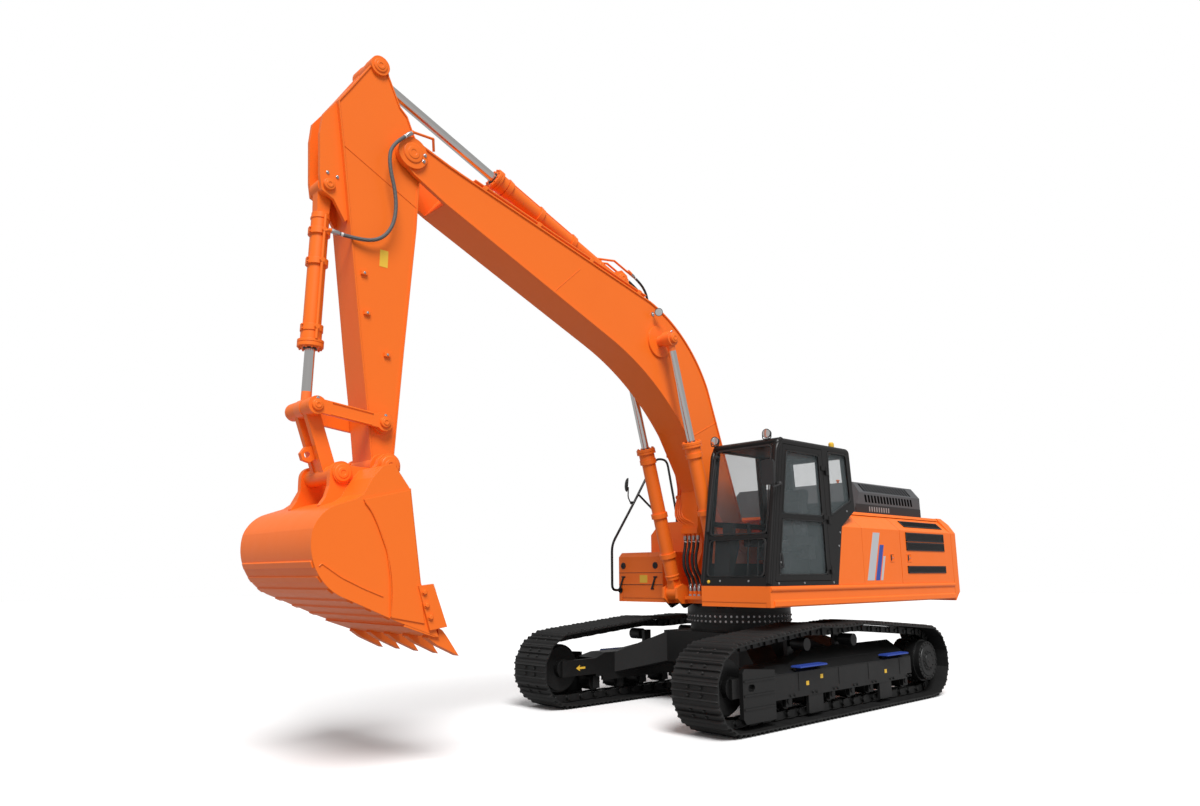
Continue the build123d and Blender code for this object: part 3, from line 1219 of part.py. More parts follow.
with BuildPart() as bucket:
    extrude(to_extrude=outlined(bucket_frame, back_start, back_steps), amount=bucket_half, both=True)
    extrude(to_extrude=outlined(bucket_frame, hollow_start, hollow_steps), amount=bucket_half - side_thick,
            both=True,
            mode=Mode.SUBTRACT)
    # lip plate
    slab(bucket_frame, lip_outline, 2 * bucket_half - 4)
    # ears
    for sign in (-1, 1):
        ear_plane = shifted(bucket_frame, sign * (ear_inner + ear_thick / 2))
        slab(ear_plane, [(60, -100), (-100, 30), (-12, 150), (-79, 340),
                         (ear_place[0] - 98, ear_place[1] - 10),
                         (ear_place[0] - 30, ear_place[1] + 98), (31, 580), (112, 634), (168, 705), (198,
                                                                                                     690),
                         (225, 90)], ear_thick)
        # box between the ear and the side plate
        box_half = (bucket_half - ear_inner) / 2
        slab(shifted(bucket_frame, sign * (bucket_half - box_half)), shoulder_outline, 2 * box_half)
        disc(ear_plane, (0, 0), 112, ear_thick)
        disc(ear_plane, ear_place, 102, ear_thick)
        spacer = shifted(bucket_frame, sign * (arm_end_half + pin_gap + (ear_inner - arm_end_half - pin_gap) / 2))
        disc(spacer, (0, 0), 85, ear_inner - arm_end_half - pin_gap)
        for place, wide in (((0, 0), 95), (ear_place, 86)):
            cap_plane = shifted(bucket_frame, sign * (ear_inner + ear_thick + 12))
            disc(cap_plane, place, wide, 24)
        # side cutters
        extrude(to_extrude=outlined(shifted(bucket_frame, sign * bucket_half), strip_start, strip_steps),
                amount=-sign * strip_thick)
        cutter = shifted(bucket_frame, sign * (bucket_half + cutter_thick / 2))
        slab(cutter, [(1040, 100), (1010, 240), (lip_place[0] - 90, 235), (lip_place[0] - 60, 70)],
             cutter_thick)
save(bucket.part, "bucket")

bucket_teeth = 5
tooth_wide = 92.0
with BuildPart() as teeth:
    for number in range(bucket_teeth):
        y = (number - (bucket_teeth - 1) / 2) * (2 * bucket_half - 140) / (bucket_teeth - 1)
        tooth_plane = shifted(bucket_frame, y)
        slab(tooth_plane, [(lip_place[0] + 6.5, lip_place[1] - 9), (lip_place[0] - 60, lip_place[1] + 60),
                           (lip_place[0] - 30, lip_place[1] + 90), (lip_place[0] + 62, lip_place[1] + 18),
                           (bucket_reach, 0), (lip_place[0] + 30, lip_place[1] - 92),
                           (lip_place[0] - 40, lip_place[1] - 62), (lip_place[0] - 70,
                                                                    lip_place[1] - 30)], tooth_wide)
    extrude(to_extrude=outlined(bucket_frame, back_start, back_steps, inwards=-seat_gap),
            amount=bucket_half, both=True,
            mode=Mode.SUBTRACT)
    extrude(to_extrude=outlined(bucket_frame, lip_outline[0], lip_outline[1:], inwards=-seat_gap),
            amount=bucket_half,
            both=True, mode=Mode.SUBTRACT)
save(teeth.part, "bucket_teeth")


# -------------------------------------------------------------------- hoses
def hose(points, diameter, name):
    """A hose of straight runs joined by arcs, each as large as its two runs allow."""
    radii = []
    for before, here, after in zip(points, points[1:], points[2:]):
        arrive = Vector(*here) - Vector(*before)
        leave = Vector(*after) - Vector(*here)
        turn = radians(arrive.get_angle(leave))
        radii.append(0.45 * min(arrive.length, leave.length) / tan_half(turn))
    print(name, "smallest radius over diameter", round(min(radii) / diameter, 1))
    with BuildPart() as tube:
        with BuildLine():
            path = FilletPolyline(*points, radius=radii)
        with BuildSketch(Plane(origin=points[0], z_dir=Vector(*points[1]) - Vector(*points[0]))):
            Circle(diameter / 2)
        sweep(path=path)
    print(name, "length", round(path.length), "volume share", round(tube.part.volume / (path.length * pi * diameter ** 2 / 4), 3))
    save(tube.part, name)


for number, route in enumerate(main_routes()):
    hose(route, main_hose, f"main_hose_{number + 1}")
for number, route in enumerate(crowd_routes()):
    hose(route, crowd_hose, f"crowd_hose_{number + 1}")
hose(tip_route, tip_hose, "tip_hose")
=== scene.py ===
"""Crawler excavator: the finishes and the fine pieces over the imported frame.

Metres, +X to the front, +Y to the left, +Z up.  Places are counted from the
slewing axis, as at(x, y, z), or along a piece of the working gear, as an Along
frame such as boom(along, out, side).
"""

import json
from math import cos, hypot, pi, radians, sin

import bmesh
import bpy
from mathutils import Matrix, Vector


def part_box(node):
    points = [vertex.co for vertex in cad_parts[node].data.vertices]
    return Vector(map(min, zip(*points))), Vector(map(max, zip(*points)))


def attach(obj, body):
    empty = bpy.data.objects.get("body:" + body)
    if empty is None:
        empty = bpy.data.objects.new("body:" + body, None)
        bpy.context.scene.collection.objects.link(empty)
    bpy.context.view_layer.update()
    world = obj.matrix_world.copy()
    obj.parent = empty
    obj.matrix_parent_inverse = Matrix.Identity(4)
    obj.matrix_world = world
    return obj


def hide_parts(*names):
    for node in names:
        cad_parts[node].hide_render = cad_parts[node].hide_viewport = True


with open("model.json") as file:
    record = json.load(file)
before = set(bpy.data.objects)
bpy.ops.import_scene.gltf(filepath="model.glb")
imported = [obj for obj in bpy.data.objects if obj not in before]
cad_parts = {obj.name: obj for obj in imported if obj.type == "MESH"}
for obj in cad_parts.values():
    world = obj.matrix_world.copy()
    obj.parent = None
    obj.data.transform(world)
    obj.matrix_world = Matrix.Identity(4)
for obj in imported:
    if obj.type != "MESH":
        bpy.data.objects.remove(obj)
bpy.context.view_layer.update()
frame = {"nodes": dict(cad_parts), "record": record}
record = frame["record"]
pins = {joint["name"]: Vector(joint["pos_m"]) for joint in record["behaviour"]["joints"]}
slew_x = pins["slew"].x
left = Vector((0, 1, 0))
up_axis = Vector((0, 0, 1))
front_axis = Vector((1, 0, 0))


def at(x, y, z):
    """A place counted from the slewing axis on the ground."""
    return Vector((x + slew_x, y, z))


class Along:
    """Places along a piece: how far along it, how far out of its upper or front side, how far left."""

    def __init__(self, start, end):
        self.start = start
        self.ahead = (end - start).normalized()
        self.out = self.ahead.cross(left)
        self.long = (end - start).length

    def __call__(self, along, out=0.0, side=0.0):
        return self.start + self.ahead * along + self.out * out + left * side


boom = Along(pins["boom_lift"], pins["arm_swing"])
lift = Along(pins["lift_barrel_tilt"], pins["lift_rod_slide"])
crowd = Along(pins["crowd_barrel_tilt"], pins["crowd_rod_slide"])
curl = Along(pins["curl_barrel_tilt"], pins["curl_rod_slide"])
bucket = Along(pins["bucket_curl"], at(4.750, 0, 0.905))


# ---------------------------------------------------------------- camera, light
def camera():
    """Low in front, on the left of the machine, looking a little up."""
    yaw, pitch, roll = radians(-132.923), radians(11.544), radians(-0.322)
    ahead = Vector((cos(yaw) * cos(pitch), sin(yaw) * cos(pitch), sin(pitch)))
    right = Vector((sin(yaw), -cos(yaw), 0))
    above = right.cross(ahead)
    level = right * cos(roll) + above * sin(roll)
    above = above * cos(roll) - right * sin(roll)
    eye = bpy.data.objects.new("camera", bpy.data.cameras.new("camera"))
    eye.data.lens = 25.20
    eye.data.sensor_width = 36.0
    turn = Matrix((level, above, -ahead)).transposed()
    eye.matrix_world = Matrix.Translation(at(8.940, 6.994, 1.579)) @ turn.to_4x4()
    bpy.context.scene.collection.objects.link(eye)
    bpy.context.scene.camera = eye


# -------------------------------------------------------------- shader language
class Signal:
    """A socket that takes part in sums: arithmetic on it adds Math nodes to its material."""

    def __init__(self, paint, socket):
        self.paint = paint
        self.socket = socket

    def math(self, operation, other=0.0, swapped=False):
        """One Math node on this signal and another value."""
        pair = (other, self) if swapped else (self, other)
        return self.paint.node("ShaderNodeMath", {"operation": operation}, {0: pair[0], 1: pair[1]})

    def __add__(self, other):
        return self.math("ADD", other)

    def __radd__(self, other):
        return self.math("ADD", other, True)

    def __sub__(self, other):
        return self.math("SUBTRACT", other)

    def __rsub__(self, other):
        return self.math("SUBTRACT", other, True)

    def __mul__(self, other):
        return self.math("MULTIPLY", other)

    def __rmul__(self, other):
        return self.math("MULTIPLY", other, True)

    def __gt__(self, other):
        return self.math("GREATER_THAN", other)

    def __pow__(self, other):
        return self.math("POWER", other)


class Finish:
    """A material: its nodes, its Principled shader and the words to build them."""

    def __init__(self, name, slot_name):
        self.slot = slot_name
        self.material = bpy.data.materials.new(name)
        self.material.use_nodes = True
        self.tree = self.material.node_tree
        self.shader = self.tree.nodes["Principled BSDF"]
        self.place = self.node("ShaderNodeNewGeometry", {}, {}, "Position")

    def node(self, kind, settings, inputs, output=0):
        """A node of a type with its settings, then its inputs; gives back one of its outputs."""
        made = self.tree.nodes.new(kind)
        for key, value in settings.items():
            if key == "stops":
                ramp = made.color_ramp
                while len(ramp.elements) < len(value):
                    ramp.elements.new(0.5)
                for element, (stop, colour) in zip(ramp.elements, value):
                    element.position = stop
                    element.color = colour
            else:
                setattr(made, key, value)
        for key, value in inputs.items():
            self.feed(made.inputs[key], value)
        return Signal(self, made.outputs[output])

    def feed(self, socket, value):
        """Links a signal to a socket, or sets its plain value."""
        if isinstance(value, Signal):
            self.tree.links.new(value.socket, socket)
        elif isinstance(value, tuple) and len(value) == 3 and socket.type == "RGBA":
            socket.default_value = (*value, 1.0)
        else:
            socket.default_value = value

    def noise(self, scale, detail=2.0, place=None):
        """Soft noise in space, 0 to 1."""
        return self.node("ShaderNodeTexNoise", {}, {"Vector": place or self.place, "Scale": scale,
                                                    "Detail": detail}, "Fac")

    def mix(self, share, one, other):
        """A colour between two colours."""
        made = self.tree.nodes.new("ShaderNodeMix")
        made.data_type = "RGBA"
        self.feed(made.inputs["Factor"], share)
        self.feed(made.inputs[6], one)
        self.feed(made.inputs[7], other)
        return Signal(self, made.outputs[2])

    def stretched(self, x, y, z):
        """The place in space, scaled by each axis."""
        return self.node("ShaderNodeVectorMath", {"operation": "MULTIPLY"}, {0: self.place, 1: (x, y, z)})

    def relief(self, height, strength, distance, corner=0.0):
        """Bump from a height, over corners rounded by a radius."""
        inputs = {"Height": height, "Strength": strength, "Distance": distance}
        if corner:
            inputs["Normal"] = self.node("ShaderNodeBevel", {"samples": 4}, {"Radius": corner})
        self.set(Normal=self.node("ShaderNodeBump", {}, inputs))

    def set(self, **sockets):
        """Sets sockets of the shader by their names, with spaces as underscores."""
        for name, value in sockets.items():
            self.feed(self.shader.inputs[name.replace("_", " ")], value)
        return self


def paint(name, slot_name, colour, shade, rough, corner=0.006):
    """Sprayed machine paint: fine orange peel, soft drift of tone and a clear gloss."""
    finish = Finish(name, slot_name)
    drift = finish.noise(0.9, 3.0)
    peel = finish.noise(160.0, 2.0)
    smear = finish.noise(7.0, 4.0)
    finish.set(Base_Color=finish.mix(drift * 0.6 + smear * 0.3, colour, shade))
    finish.set(Roughness=rough + smear * 0.12, Coat_Weight=0.10, Coat_Roughness=0.15, Specular_IOR_Level=0.30)
    finish.relief(peel, 0.12, 0.0006, corner)
    return finish


def rough_iron(name, slot_name, colour, worn, rough):
    """Dark coated iron with a grainy surface and a little dust."""
    finish = Finish(name, slot_name)
    grain = finish.noise(220.0, 3.0)
    cloud = finish.noise(4.0, 5.0)
    dust = (finish.noise(26.0, 4.0) - 0.52) * 3.0
    finish.set(Base_Color=finish.mix(dust * cloud, colour, worn))
    finish.set(Roughness=rough + cloud * 0.2)
    finish.relief(grain * 0.6 + finish.noise(38.0, 3.0) * 0.8, 0.25, 0.0012, 0.004)
    return finish


def moulded(name, slot_name, colour, rough, scale=420.0, strength=0.2):
    """Moulded plastic or rubber with a fine leather-like grain."""
    finish = Finish(name, slot_name)
    grain = finish.node("ShaderNodeTexVoronoi", {}, {"Vector": finish.place, "Scale": scale}, "Distance")
    cloud = finish.noise(5.0, 3.0)
    lighter = tuple(min(1.0, part * 1.5 + 0.01) for part in colour)
    finish.set(Base_Color=finish.mix(cloud * 0.5, colour, lighter), Roughness=rough + cloud * 0.12)
    finish.relief(grain, strength, 0.0005, 0.003)
    return finish


def bright_metal(name, slot_name, colour, rough, brushed=60.0):
    """Chromed or zinc-plated steel with faint lines."""
    finish = Finish(name, slot_name)
    lines = finish.noise(brushed, 4.0, finish.stretched(1.0, 6.0, 1.0))
    finish.set(Base_Color=finish.mix(lines * 0.4, colour, tuple(part * 0.8 for part in colour)))
    finish.set(Roughness=rough + lines * 0.06, Metallic=1.0)
    finish.relief(lines, 0.06, 0.0004)
    return finish


def clear_glass(name, slot_name, tint, alpha):
    """Thin window glass: mostly see-through, with a mirror-like sheen."""
    finish = Finish(name, slot_name)
    film = finish.noise(3.0, 2.0)
    edge = finish.node("ShaderNodeFresnel", {}, {"IOR": 1.45})
    finish.set(Base_Color=tint, Roughness=0.02 + film * 0.02, Alpha=alpha + edge * 0.45)
    finish.shader.inputs["Specular IOR Level"].default_value = 0.8
    return finish


def woven(name, slot_name, colour, thread):
    """Seat cloth: a close weave of two threads."""
    finish = Finish(name, slot_name)
    warp = finish.node("ShaderNodeTexWave", {"bands_direction": "Y"},
                       {"Vector": finish.place, "Scale": 190.0})
    weft = finish.node("ShaderNodeTexWave", {"bands_direction": "Z"},
                       {"Vector": finish.place, "Scale": 190.0})
    weave = finish.node("ShaderNodeMath", {"operation": "MAXIMUM"}, {0: warp, 1: weft})
    cloud = finish.noise(9.0, 3.0)
    finish.set(Base_Color=finish.mix(weave * 0.6 + cloud * 0.2, colour, thread), Roughness=0.82 + cloud * 0.1)
    finish.relief(weave, 0.35, 0.0008)
    return finish


def spiral(name, slot_name, colour, pale):
    """Hose with a spiral guard wound round it."""
    finish = Finish(name, slot_name)
    turns = finish.node("ShaderNodeTexWave", {"bands_direction": "Z"},
                        {"Vector": finish.place, "Scale": 26.0})
    finish.set(Base_Color=finish.mix(turns, colour, pale), Roughness=0.55 + turns * 0.1)
    finish.relief(turns, 0.7, 0.002)
    return finish


orange = paint("orange_paint", "orange_paint", (0.96, 0.182, 0.016), (0.90, 0.160, 0.013), 0.36)
black = paint("black_paint", "black_paint", (0.0065, 0.006, 0.006), (0.010, 0.009, 0.009), 0.34)
grey = paint("hood_paint", "grey_paint", (0.085, 0.086, 0.090), (0.068, 0.070, 0.074), 0.42)
iron = rough_iron("track_iron", "track_steel", (0.008, 0.008, 0.008), (0.022, 0.021, 0.020), 0.42)
casting = rough_iron("frame_iron", "black_paint", (0.006, 0.006, 0.006), (0.012, 0.012, 0.012), 0.36)
chrome = bright_metal("rod_chrome", "chrome", (0.80, 0.80, 0.81), 0.10)
zinc = bright_metal("zinc_bolt", "chrome", (0.62, 0.62, 0.63), 0.28)
glass = clear_glass("window_glass", "glass", (0.20, 0.24, 0.25), 0.02)
rubber = moulded("hose_rubber", "rubber", (0.012, 0.012, 0.012), 0.50)
plastic = moulded("cab_plastic", "dark_plastic", (0.014, 0.014, 0.015), 0.50)
cloth = woven("seat_cloth", "seat_fabric", (0.020, 0.020, 0.023), (0.055, 0.056, 0.062))
guard = spiral("hose_guard", "rubber", (0.055, 0.056, 0.058), (0.16, 0.16, 0.16))
fitting = bright_metal("hose_fitting", "chrome", (0.50, 0.50, 0.50), 0.32)
lens = bright_metal("lamp_reflector", "chrome", (0.90, 0.90, 0.88), 0.12)
yellow = paint("yellow_plate", "orange_paint", (0.85, 0.52, 0.05), (0.80, 0.48, 0.05), 0.45, 0.0)
white = paint("white_band", "dark_plastic", (0.72, 0.72, 0.70), (0.66, 0.66, 0.65), 0.5, 0.0)
# Light grey for the slots in the hood's dark band: painted light, standing for the bright surround seen
# through the openings.
pale = paint("slot_painted_backdrop_light", "dark_plastic", (0.34, 0.34, 0.34), (0.22, 0.22, 0.22), 0.6, 0.0)
# Near-black with no gloss for the slots on the hood's sides: painted shade, standing for the shaded inside of
# the hood behind the openings.
slot_painted_shade = moulded("slot_painted_shade", "dark_plastic", (0.0015, 0.0015, 0.0015), 0.95)
slot_painted_shade.set(Specular_IOR_Level=0.0)
blue = paint("blue_mark", "orange_paint", (0.035, 0.075, 0.36), (0.03, 0.065, 0.32), 0.35, 0.0)
silver = paint("silver_mark", "orange_paint", (0.50, 0.51, 0.53), (0.46, 0.47, 0.49), 0.3, 0.0)


def eyed_rod(name, line, eye_long):
    """Bright rod steel as far as the welded eye, and machine paint on the eye."""
    finish = Finish(name, "chrome")
    place = finish.node("ShaderNodeTexCoord", {}, {}, "Object")
    along = finish.node("ShaderNodeVectorMath", {"operation": "DOT_PRODUCT"},
                        {0: place, 1: tuple(line.ahead)}, "Value")
    painted = along > line.start.dot(line.ahead) + line.long - eye_long
    smear = finish.noise(7.0, 4.0)
    finish.set(Base_Color=finish.mix(painted, (0.78, 0.76, 0.74), (0.93, 0.185, 0.030)),
               Metallic=1.0 - painted,
               Roughness=0.12 + painted * 0.22 + smear * 0.05)
    return finish


def turntable_paint():
    """The upper's floor in machine paint, and the slewing bearing under it in black."""
    finish = Finish("turntable_paint", "orange_paint")
    place = finish.node("ShaderNodeTexCoord", {}, {}, "Object")
    height = finish.node("ShaderNodeVectorMath", {"operation": "DOT_PRODUCT"}, {0: place, 1: (0, 0, 1)},
                         "Value")
    upper = height > 1.215
    finish.set(Base_Color=finish.mix(upper, (0.007, 0.006, 0.006), (0.96, 0.182, 0.016)), Roughness=0.36,
               Coat_Weight=0.10, Coat_Roughness=0.15, Specular_IOR_Level=0.30)
    return finish


# ---------------------------------------------------------------- mesh language
class Piece:
    """Mesh code for one piece of the machine: forms are added to it, then it is finished."""

    def __init__(self):
        self.mesh = bmesh.new()

    def skin(self, rings, closed_ends=True, loop=True):
        """Walls between rings of points, with ends if asked for."""
        made = [[self.mesh.verts.new(point) for point in ring] for ring in rings]
        for one, other in zip(made, made[1:]):
            last = len(one) if loop else len(one) - 1
            for number in range(last):
                after = (number + 1) % len(one)
                self.mesh.faces.new((one[number], one[after], other[after], other[number]))
        if closed_ends:
            self.mesh.faces.new(made[0][::-1])
            self.mesh.faces.new(made[-1])

    def plate(self, outline, push):
        """A flat plate: an outline of points, pushed by a vector."""
        self.skin([outline, [point + push for point in outline]])

    def brick(self, low, high):
        """A squared block between two corners, for what a bevel then rounds."""
        (x0, y0, z0), (x1, y1, z1) = low, high
        self.plate([Vector((x0, y0, z0)), Vector((x1, y0, z0)), Vector((x1, y1, z0)), Vector((x0, y1, z0))],
                   Vector((0, 0, z1 - z0)))

    def turned(self, start, axis, profile, sides=32):
        """A turned form: a profile of (along the axis, radius)."""
        axis = axis.normalized()
        across = axis.orthogonal().normalized()
        other = axis.cross(across)
        rings = [circle(start + axis * along, across, other, radius, sides) for along, radius in profile]
        self.skin(rings)

    def bolt(self, seat, axis, radius=0.012, high=0.010):
        """A hexagon head on a washer."""
        self.turned(seat, axis, [(0, radius * 1.35), (high * 0.25, radius * 1.35)], 14)
        self.turned(seat + axis.normalized() * high * 0.25, axis,
                    [(0, radius), (high * 0.85, radius), (high, radius * 0.82)], 6)

    def tube(self, points, radius, sides=12, bend=0.05, closed=True):
        """A bent tube through points, its corners eased by a radius."""
        path = eased(points, bend)
        rings = []
        aim = (path[1] - path[0]).normalized()
        across = aim.orthogonal().normalized()
        for number, point in enumerate(path):
            before = path[max(number - 1, 0)]
            after = path[min(number + 1, len(path) - 1)]
            aim = (after - before).normalized()
            across = (across - aim * across.dot(aim)).normalized()
            other = aim.cross(across)
            rings.append(circle(point, across, other, radius, sides))
        self.skin(rings, closed)

    def done(self, name, finish, body, bevel=0.0, replaces=(), angle=35, segments=2):
        """Makes the object, with its finish, its body and what it stands for."""
        bmesh.ops.recalc_face_normals(self.mesh, faces=self.mesh.faces)
        data = bpy.data.meshes.new(name)
        self.mesh.to_mesh(data)
        self.mesh.free()
        data.polygons.foreach_set("use_smooth", [True] * len(data.polygons))
        data.set_sharp_from_angle(angle=radians(angle))
        made = bpy.data.objects.new(name, data)
        bpy.context.scene.collection.objects.link(made)
        data.materials.append(finish.material)
        if bevel:
            edge = made.modifiers.new("edge", "BEVEL")
            edge.width = bevel
            edge.segments = segments
            edge.limit_method = "ANGLE"
            edge.angle_limit = radians(angle)
            edge.harden_normals = True
        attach(made, body)
        if replaces:
            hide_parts(*replaces)
        return made


def circle(middle, across, other, radius, sides):
    """Points of a circle round a middle, in the plane of two unit vectors."""
    turns = [2 * pi * number / sides for number in range(sides)]
    return [middle + (across * cos(turn) + other * sin(turn)) * radius for turn in turns]


def eased(points, bend):
    """The points of a line with each inner corner turned into a short arc."""
    path = [points[0]]
    for before, corner, after in zip(points, points[1:], points[2:]):
        back, on = (before - corner), (after - corner)
        cut = min(bend, back.length * 0.45, on.length * 0.45)
        start, finish = corner + back.normalized() * cut, corner + on.normalized() * cut
        for step in range(5):
            share = step / 4
            path.append(start * (1 - share) ** 2 + corner * 2 * share * (1 - share) + finish * share ** 2)
    path.append(points[-1])
    return path


def dress(finish, *names):
    """Gives CAD nodes their finish."""
    for name in names:
        node = frame["nodes"][name]
        node.data.materials.clear()
        node.data.materials.append(finish.material)


# ----------------------------------------------------------------------- tracks
gauge = 2.590
shoe_width = 0.600
shoe_count = 48
shoe_thick = 0.025
shoe_chamfer = 0.020
shoe_phase = 0.100
rib_height = 0.030
tumbler_half = 3.980 / 2
tumbler_radius = 0.425
carrier_x = (0.560, -0.430)
carrier_rise = 1.000
run_sag = 0.022
axle_z = tumbler_radius + rib_height


def shoe_corners():
    """Corners of the loop of shoes: (x, z) and the way out, (x, z)."""
    top = axle_z + tumbler_radius
    middle = sum(carrier_x) / 2
    crown = [(tumbler_half, top), (carrier_x[0], carrier_rise), (middle, carrier_rise - run_sag),
             (carrier_x[1], carrier_rise), (-tumbler_half, top)]
    spans = [((-tumbler_half, rib_height), (tumbler_half, rib_height)), (tumbler_half, -pi / 2)]
    spans += list(zip(crown, crown[1:]))
    spans.append((-tumbler_half, pi / 2))
    lengths = [pi * tumbler_radius if isinstance(span[0], float) else
               hypot(span[1][0] - span[0][0], span[1][1] - span[0][1]) for span in spans]
    pitch = sum(lengths) / shoe_count
    corners = []
    for number in range(shoe_count):
        along = number * pitch + shoe_phase
        for span, length in zip(spans, lengths):
            if along <= length:
                break
            along -= length
        if isinstance(span[0], float):
            turn = span[1] + along / tumbler_radius
            out = (cos(turn), sin(turn))
            corners.append((span[0] + tumbler_radius * out[0], axle_z + tumbler_radius * out[1]))
        else:
            (ax, az), (bx, bz) = span
            corners.append((ax + (bx - ax) * along / length, az + (bz - az) * along / length))
    return corners


# across a shoe: share of its length from one edge, and height over its face
shoe_profile = [(-0.04, -0.004), (0.02, -0.002), (0.10, 0.0), (0.14, 0.024), (0.17, rib_height),
                (0.20, 0.024),
                (0.24, 0.0), (0.44, 0.0), (0.47, 0.022), (0.50, rib_height - 0.004), (0.53, 0.022),
                (0.56, 0.0),
                (0.76, 0.0), (0.80, 0.024), (0.83, rib_height), (0.86, 0.024), (0.90, 0.0), (0.97, -0.006),
                (0.985, -0.014)]


def tracks():
    """Track shoes with three ribs and bolt heads, over a chain of links."""
    corners = shoe_corners()
    pairs = list(zip(corners, corners[1:] + corners[:1]))
    for side, sign in (("left", 1), ("right", -1)):
        shoes, links, heads = Piece(), Piece(), Piece()
        middle = sign * gauge / 2
        for (ax, az), (bx, bz) in pairs:
            here, ahead = at(ax, 0, az), at(bx, 0, bz)
            run = ahead - here
            out = Vector((run.z, 0, -run.x)).normalized()
            under = [here + run * share - out * shoe_thick * 0.55 for share in (0.985, -0.04)]
            rings = []
            for side_y, shrink in ((-shoe_width / 2, 0.6), (-shoe_width / 2 + shoe_chamfer, 1.0),
                                   (shoe_width / 2 - shoe_chamfer, 1.0), (shoe_width / 2, 0.6)):
                ring = []
                for share, rise in shoe_profile:
                    lifted = rise * shrink if rise > 0 else rise
                    ring.append(here + run * share + out * lifted + left * (middle + side_y))
                ring += [point + left * (middle + side_y) for point in under]
                rings.append(ring)
            shoes.skin(rings)
            # chain links under the shoe, as two staggered cheeks with pins
            for cheek in (-1, 1):
                for share_low, share_high, y in ((-0.02, 0.62, 0.074), (0.40, 1.04, 0.095)):
                    outline = [here + run * share_low - out * shoe_thick,
                               here + run * share_high - out * shoe_thick,
                               here + run * (share_high - 0.04) - out * 0.105,
                               here + run * (share_low + 0.04) - out * 0.105]
                    links.plate([point + left * (middle + cheek * y) for point in outline],
                                left * 0.02 * -cheek)
            links.turned(here - out * 0.072 + left * (middle - 0.108), left, [(0, 0.026), (0.216, 0.026)], 12)
            for share in (0.33, 0.67):
                for cheek in (-1, 1):
                    heads.bolt(here + run * share + left * (middle + cheek * 0.085), out, 0.015, 0.013)
        shoes.done(f"track_shoes_{side}", iron, "undercarriage", angle=28, replaces=(f"track_{side}",))
        links.done(f"track_chain_{side}", iron, "undercarriage")
        heads.done(f"track_bolts_{side}", iron, "undercarriage")


# ------------------------------------------------------------------------ hoses
def hose(name, points, diameter, body, node, finish):
    """A free hose: a smooth line over the route's points, with its bevel and its ends."""
    line = bpy.data.curves.new(name, "CURVE")
    line.dimensions = "3D"
    spline = line.splines.new("NURBS")
    spline.points.add(len(points) - 1)
    for knot, point in zip(spline.points, points):
        knot.co = (*point, 1.0)
    spline.order_u = 3
    spline.use_endpoint_u = True
    spline.resolution_u = 10
    line.bevel_depth = diameter / 2
    line.bevel_resolution = 5
    line.use_fill_caps = True
    line.materials.append(finish.material)
    made = bpy.data.objects.new(name, line)
    bpy.context.scene.collection.objects.link(made)
    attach(made, body)
    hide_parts(node)
    route = route_of(made)
    ends = hose_ends(name, route, diameter, body)


def route_of(curve_object):
    """Points along the middle of a curve, as Blender gives them without its bevel."""
    bare = curve_object.data.copy()
    bare.bevel_depth = 0
    bare.use_fill_caps = False
    holder = bpy.data.objects.new("bare_line", bare)
    bpy.context.scene.collection.objects.link(holder)
    mesh = bpy.data.meshes.new_from_object(holder)
    points = [vertex.co.copy() for vertex in mesh.vertices]
    bpy.data.objects.remove(holder)
    bpy.data.meshes.remove(mesh)
    return points


def hose_ends(name, route, diameter, body):
    """Pressed sleeves with a hexagon nut at both ends of a hose, and a pale band."""
    sleeves, bands = Piece(), Piece()
    half = diameter / 2
    for end in (route, route[::-1]):
        aim = (end[2] - end[0]).normalized()
        sleeves.turned(end[0] - aim * 0.004, aim, [(0, half * 1.15), (0.002, half * 1.3), (0.05, half * 1.3),
                                                   (0.056, half * 1.12), (0.060, half * 1.02)], 18)
        sleeves.turned(end[0] - aim * 0.02, aim, [(0, half * 1.35), (0.018, half * 1.35)], 6)
        bands.turned(end[0] + aim * 0.066, aim, [(0, half * 1.03), (0.001, half * 1.06), (0.020, half * 1.06),
                                                 (0.021, half * 1.03)], 18)
    return sleeves.done(f"{name}_sleeves", fitting, body, angle=30), bands.done(f"{name}_bands", white, body)


def hoses():
    """The four main hoses, the two at the crowd cylinder's foot and the one at the boom's tip."""
    for number in range(4):
        y = -0.215 + 0.070 * number
        bulge = 0.012 * (number % 2)
        points = [at(0.760, y, 2.055), at(0.760, y, 1.935), at(0.800 + bulge, y + 0.003, 1.830),
                  at(0.812 + bulge, y + 0.005, 1.728), at(0.795 + bulge, y + 0.012, 1.620),
                  at(0.725, y + 0.030, 1.500),
                  at(0.722, y + 0.036, 1.370)]
        hose(f"main_hose_line_{number + 1}", points, 0.038, "boom_group", f"main_hose_{number + 1}", rubber)
    for number, (side, back) in enumerate(((0.062, 0.0), (-0.062, 0.090))):
        points = [boom(3.300, 1.548, side), boom(3.180, 1.572, side),
                  boom(3.040 - back, 1.574 + back / 3, side),
                  boom(2.912 - back, 1.512 + back / 5, side), boom(2.858 - back, 1.428, side)]
        hose(f"crowd_hose_line_{number + 1}", points, 0.030, "boom_group", f"crowd_hose_{number + 1}", rubber)
    points = [at(5.184, 0.262, 5.794), at(5.380, 0.292, 5.620), at(5.415, 0.290, 5.410),
              at(5.300, 0.275, 5.080),
              at(5.310, 0.262, 4.800), at(5.440, 0.236, 4.620), at(5.680, 0.200, 4.590),
              at(5.850, 0.160, 4.622)]
    hose("tip_hose_line", points, 0.036, "arm_group", "tip_hose", guard)


# ------------------------------------------------------------------ engine house
house_half = 1.490
skirt_high = 1.445
crease_high = 2.130
shoulder_half = 1.310
shoulder_high = 2.345
hood_front = -1.200
hood_rear = -2.994
hood_half = 1.080
hood_top_half = 0.960
hood_high = 2.800
plate_off = 0.0015      # how far a flat marking stands off its panel


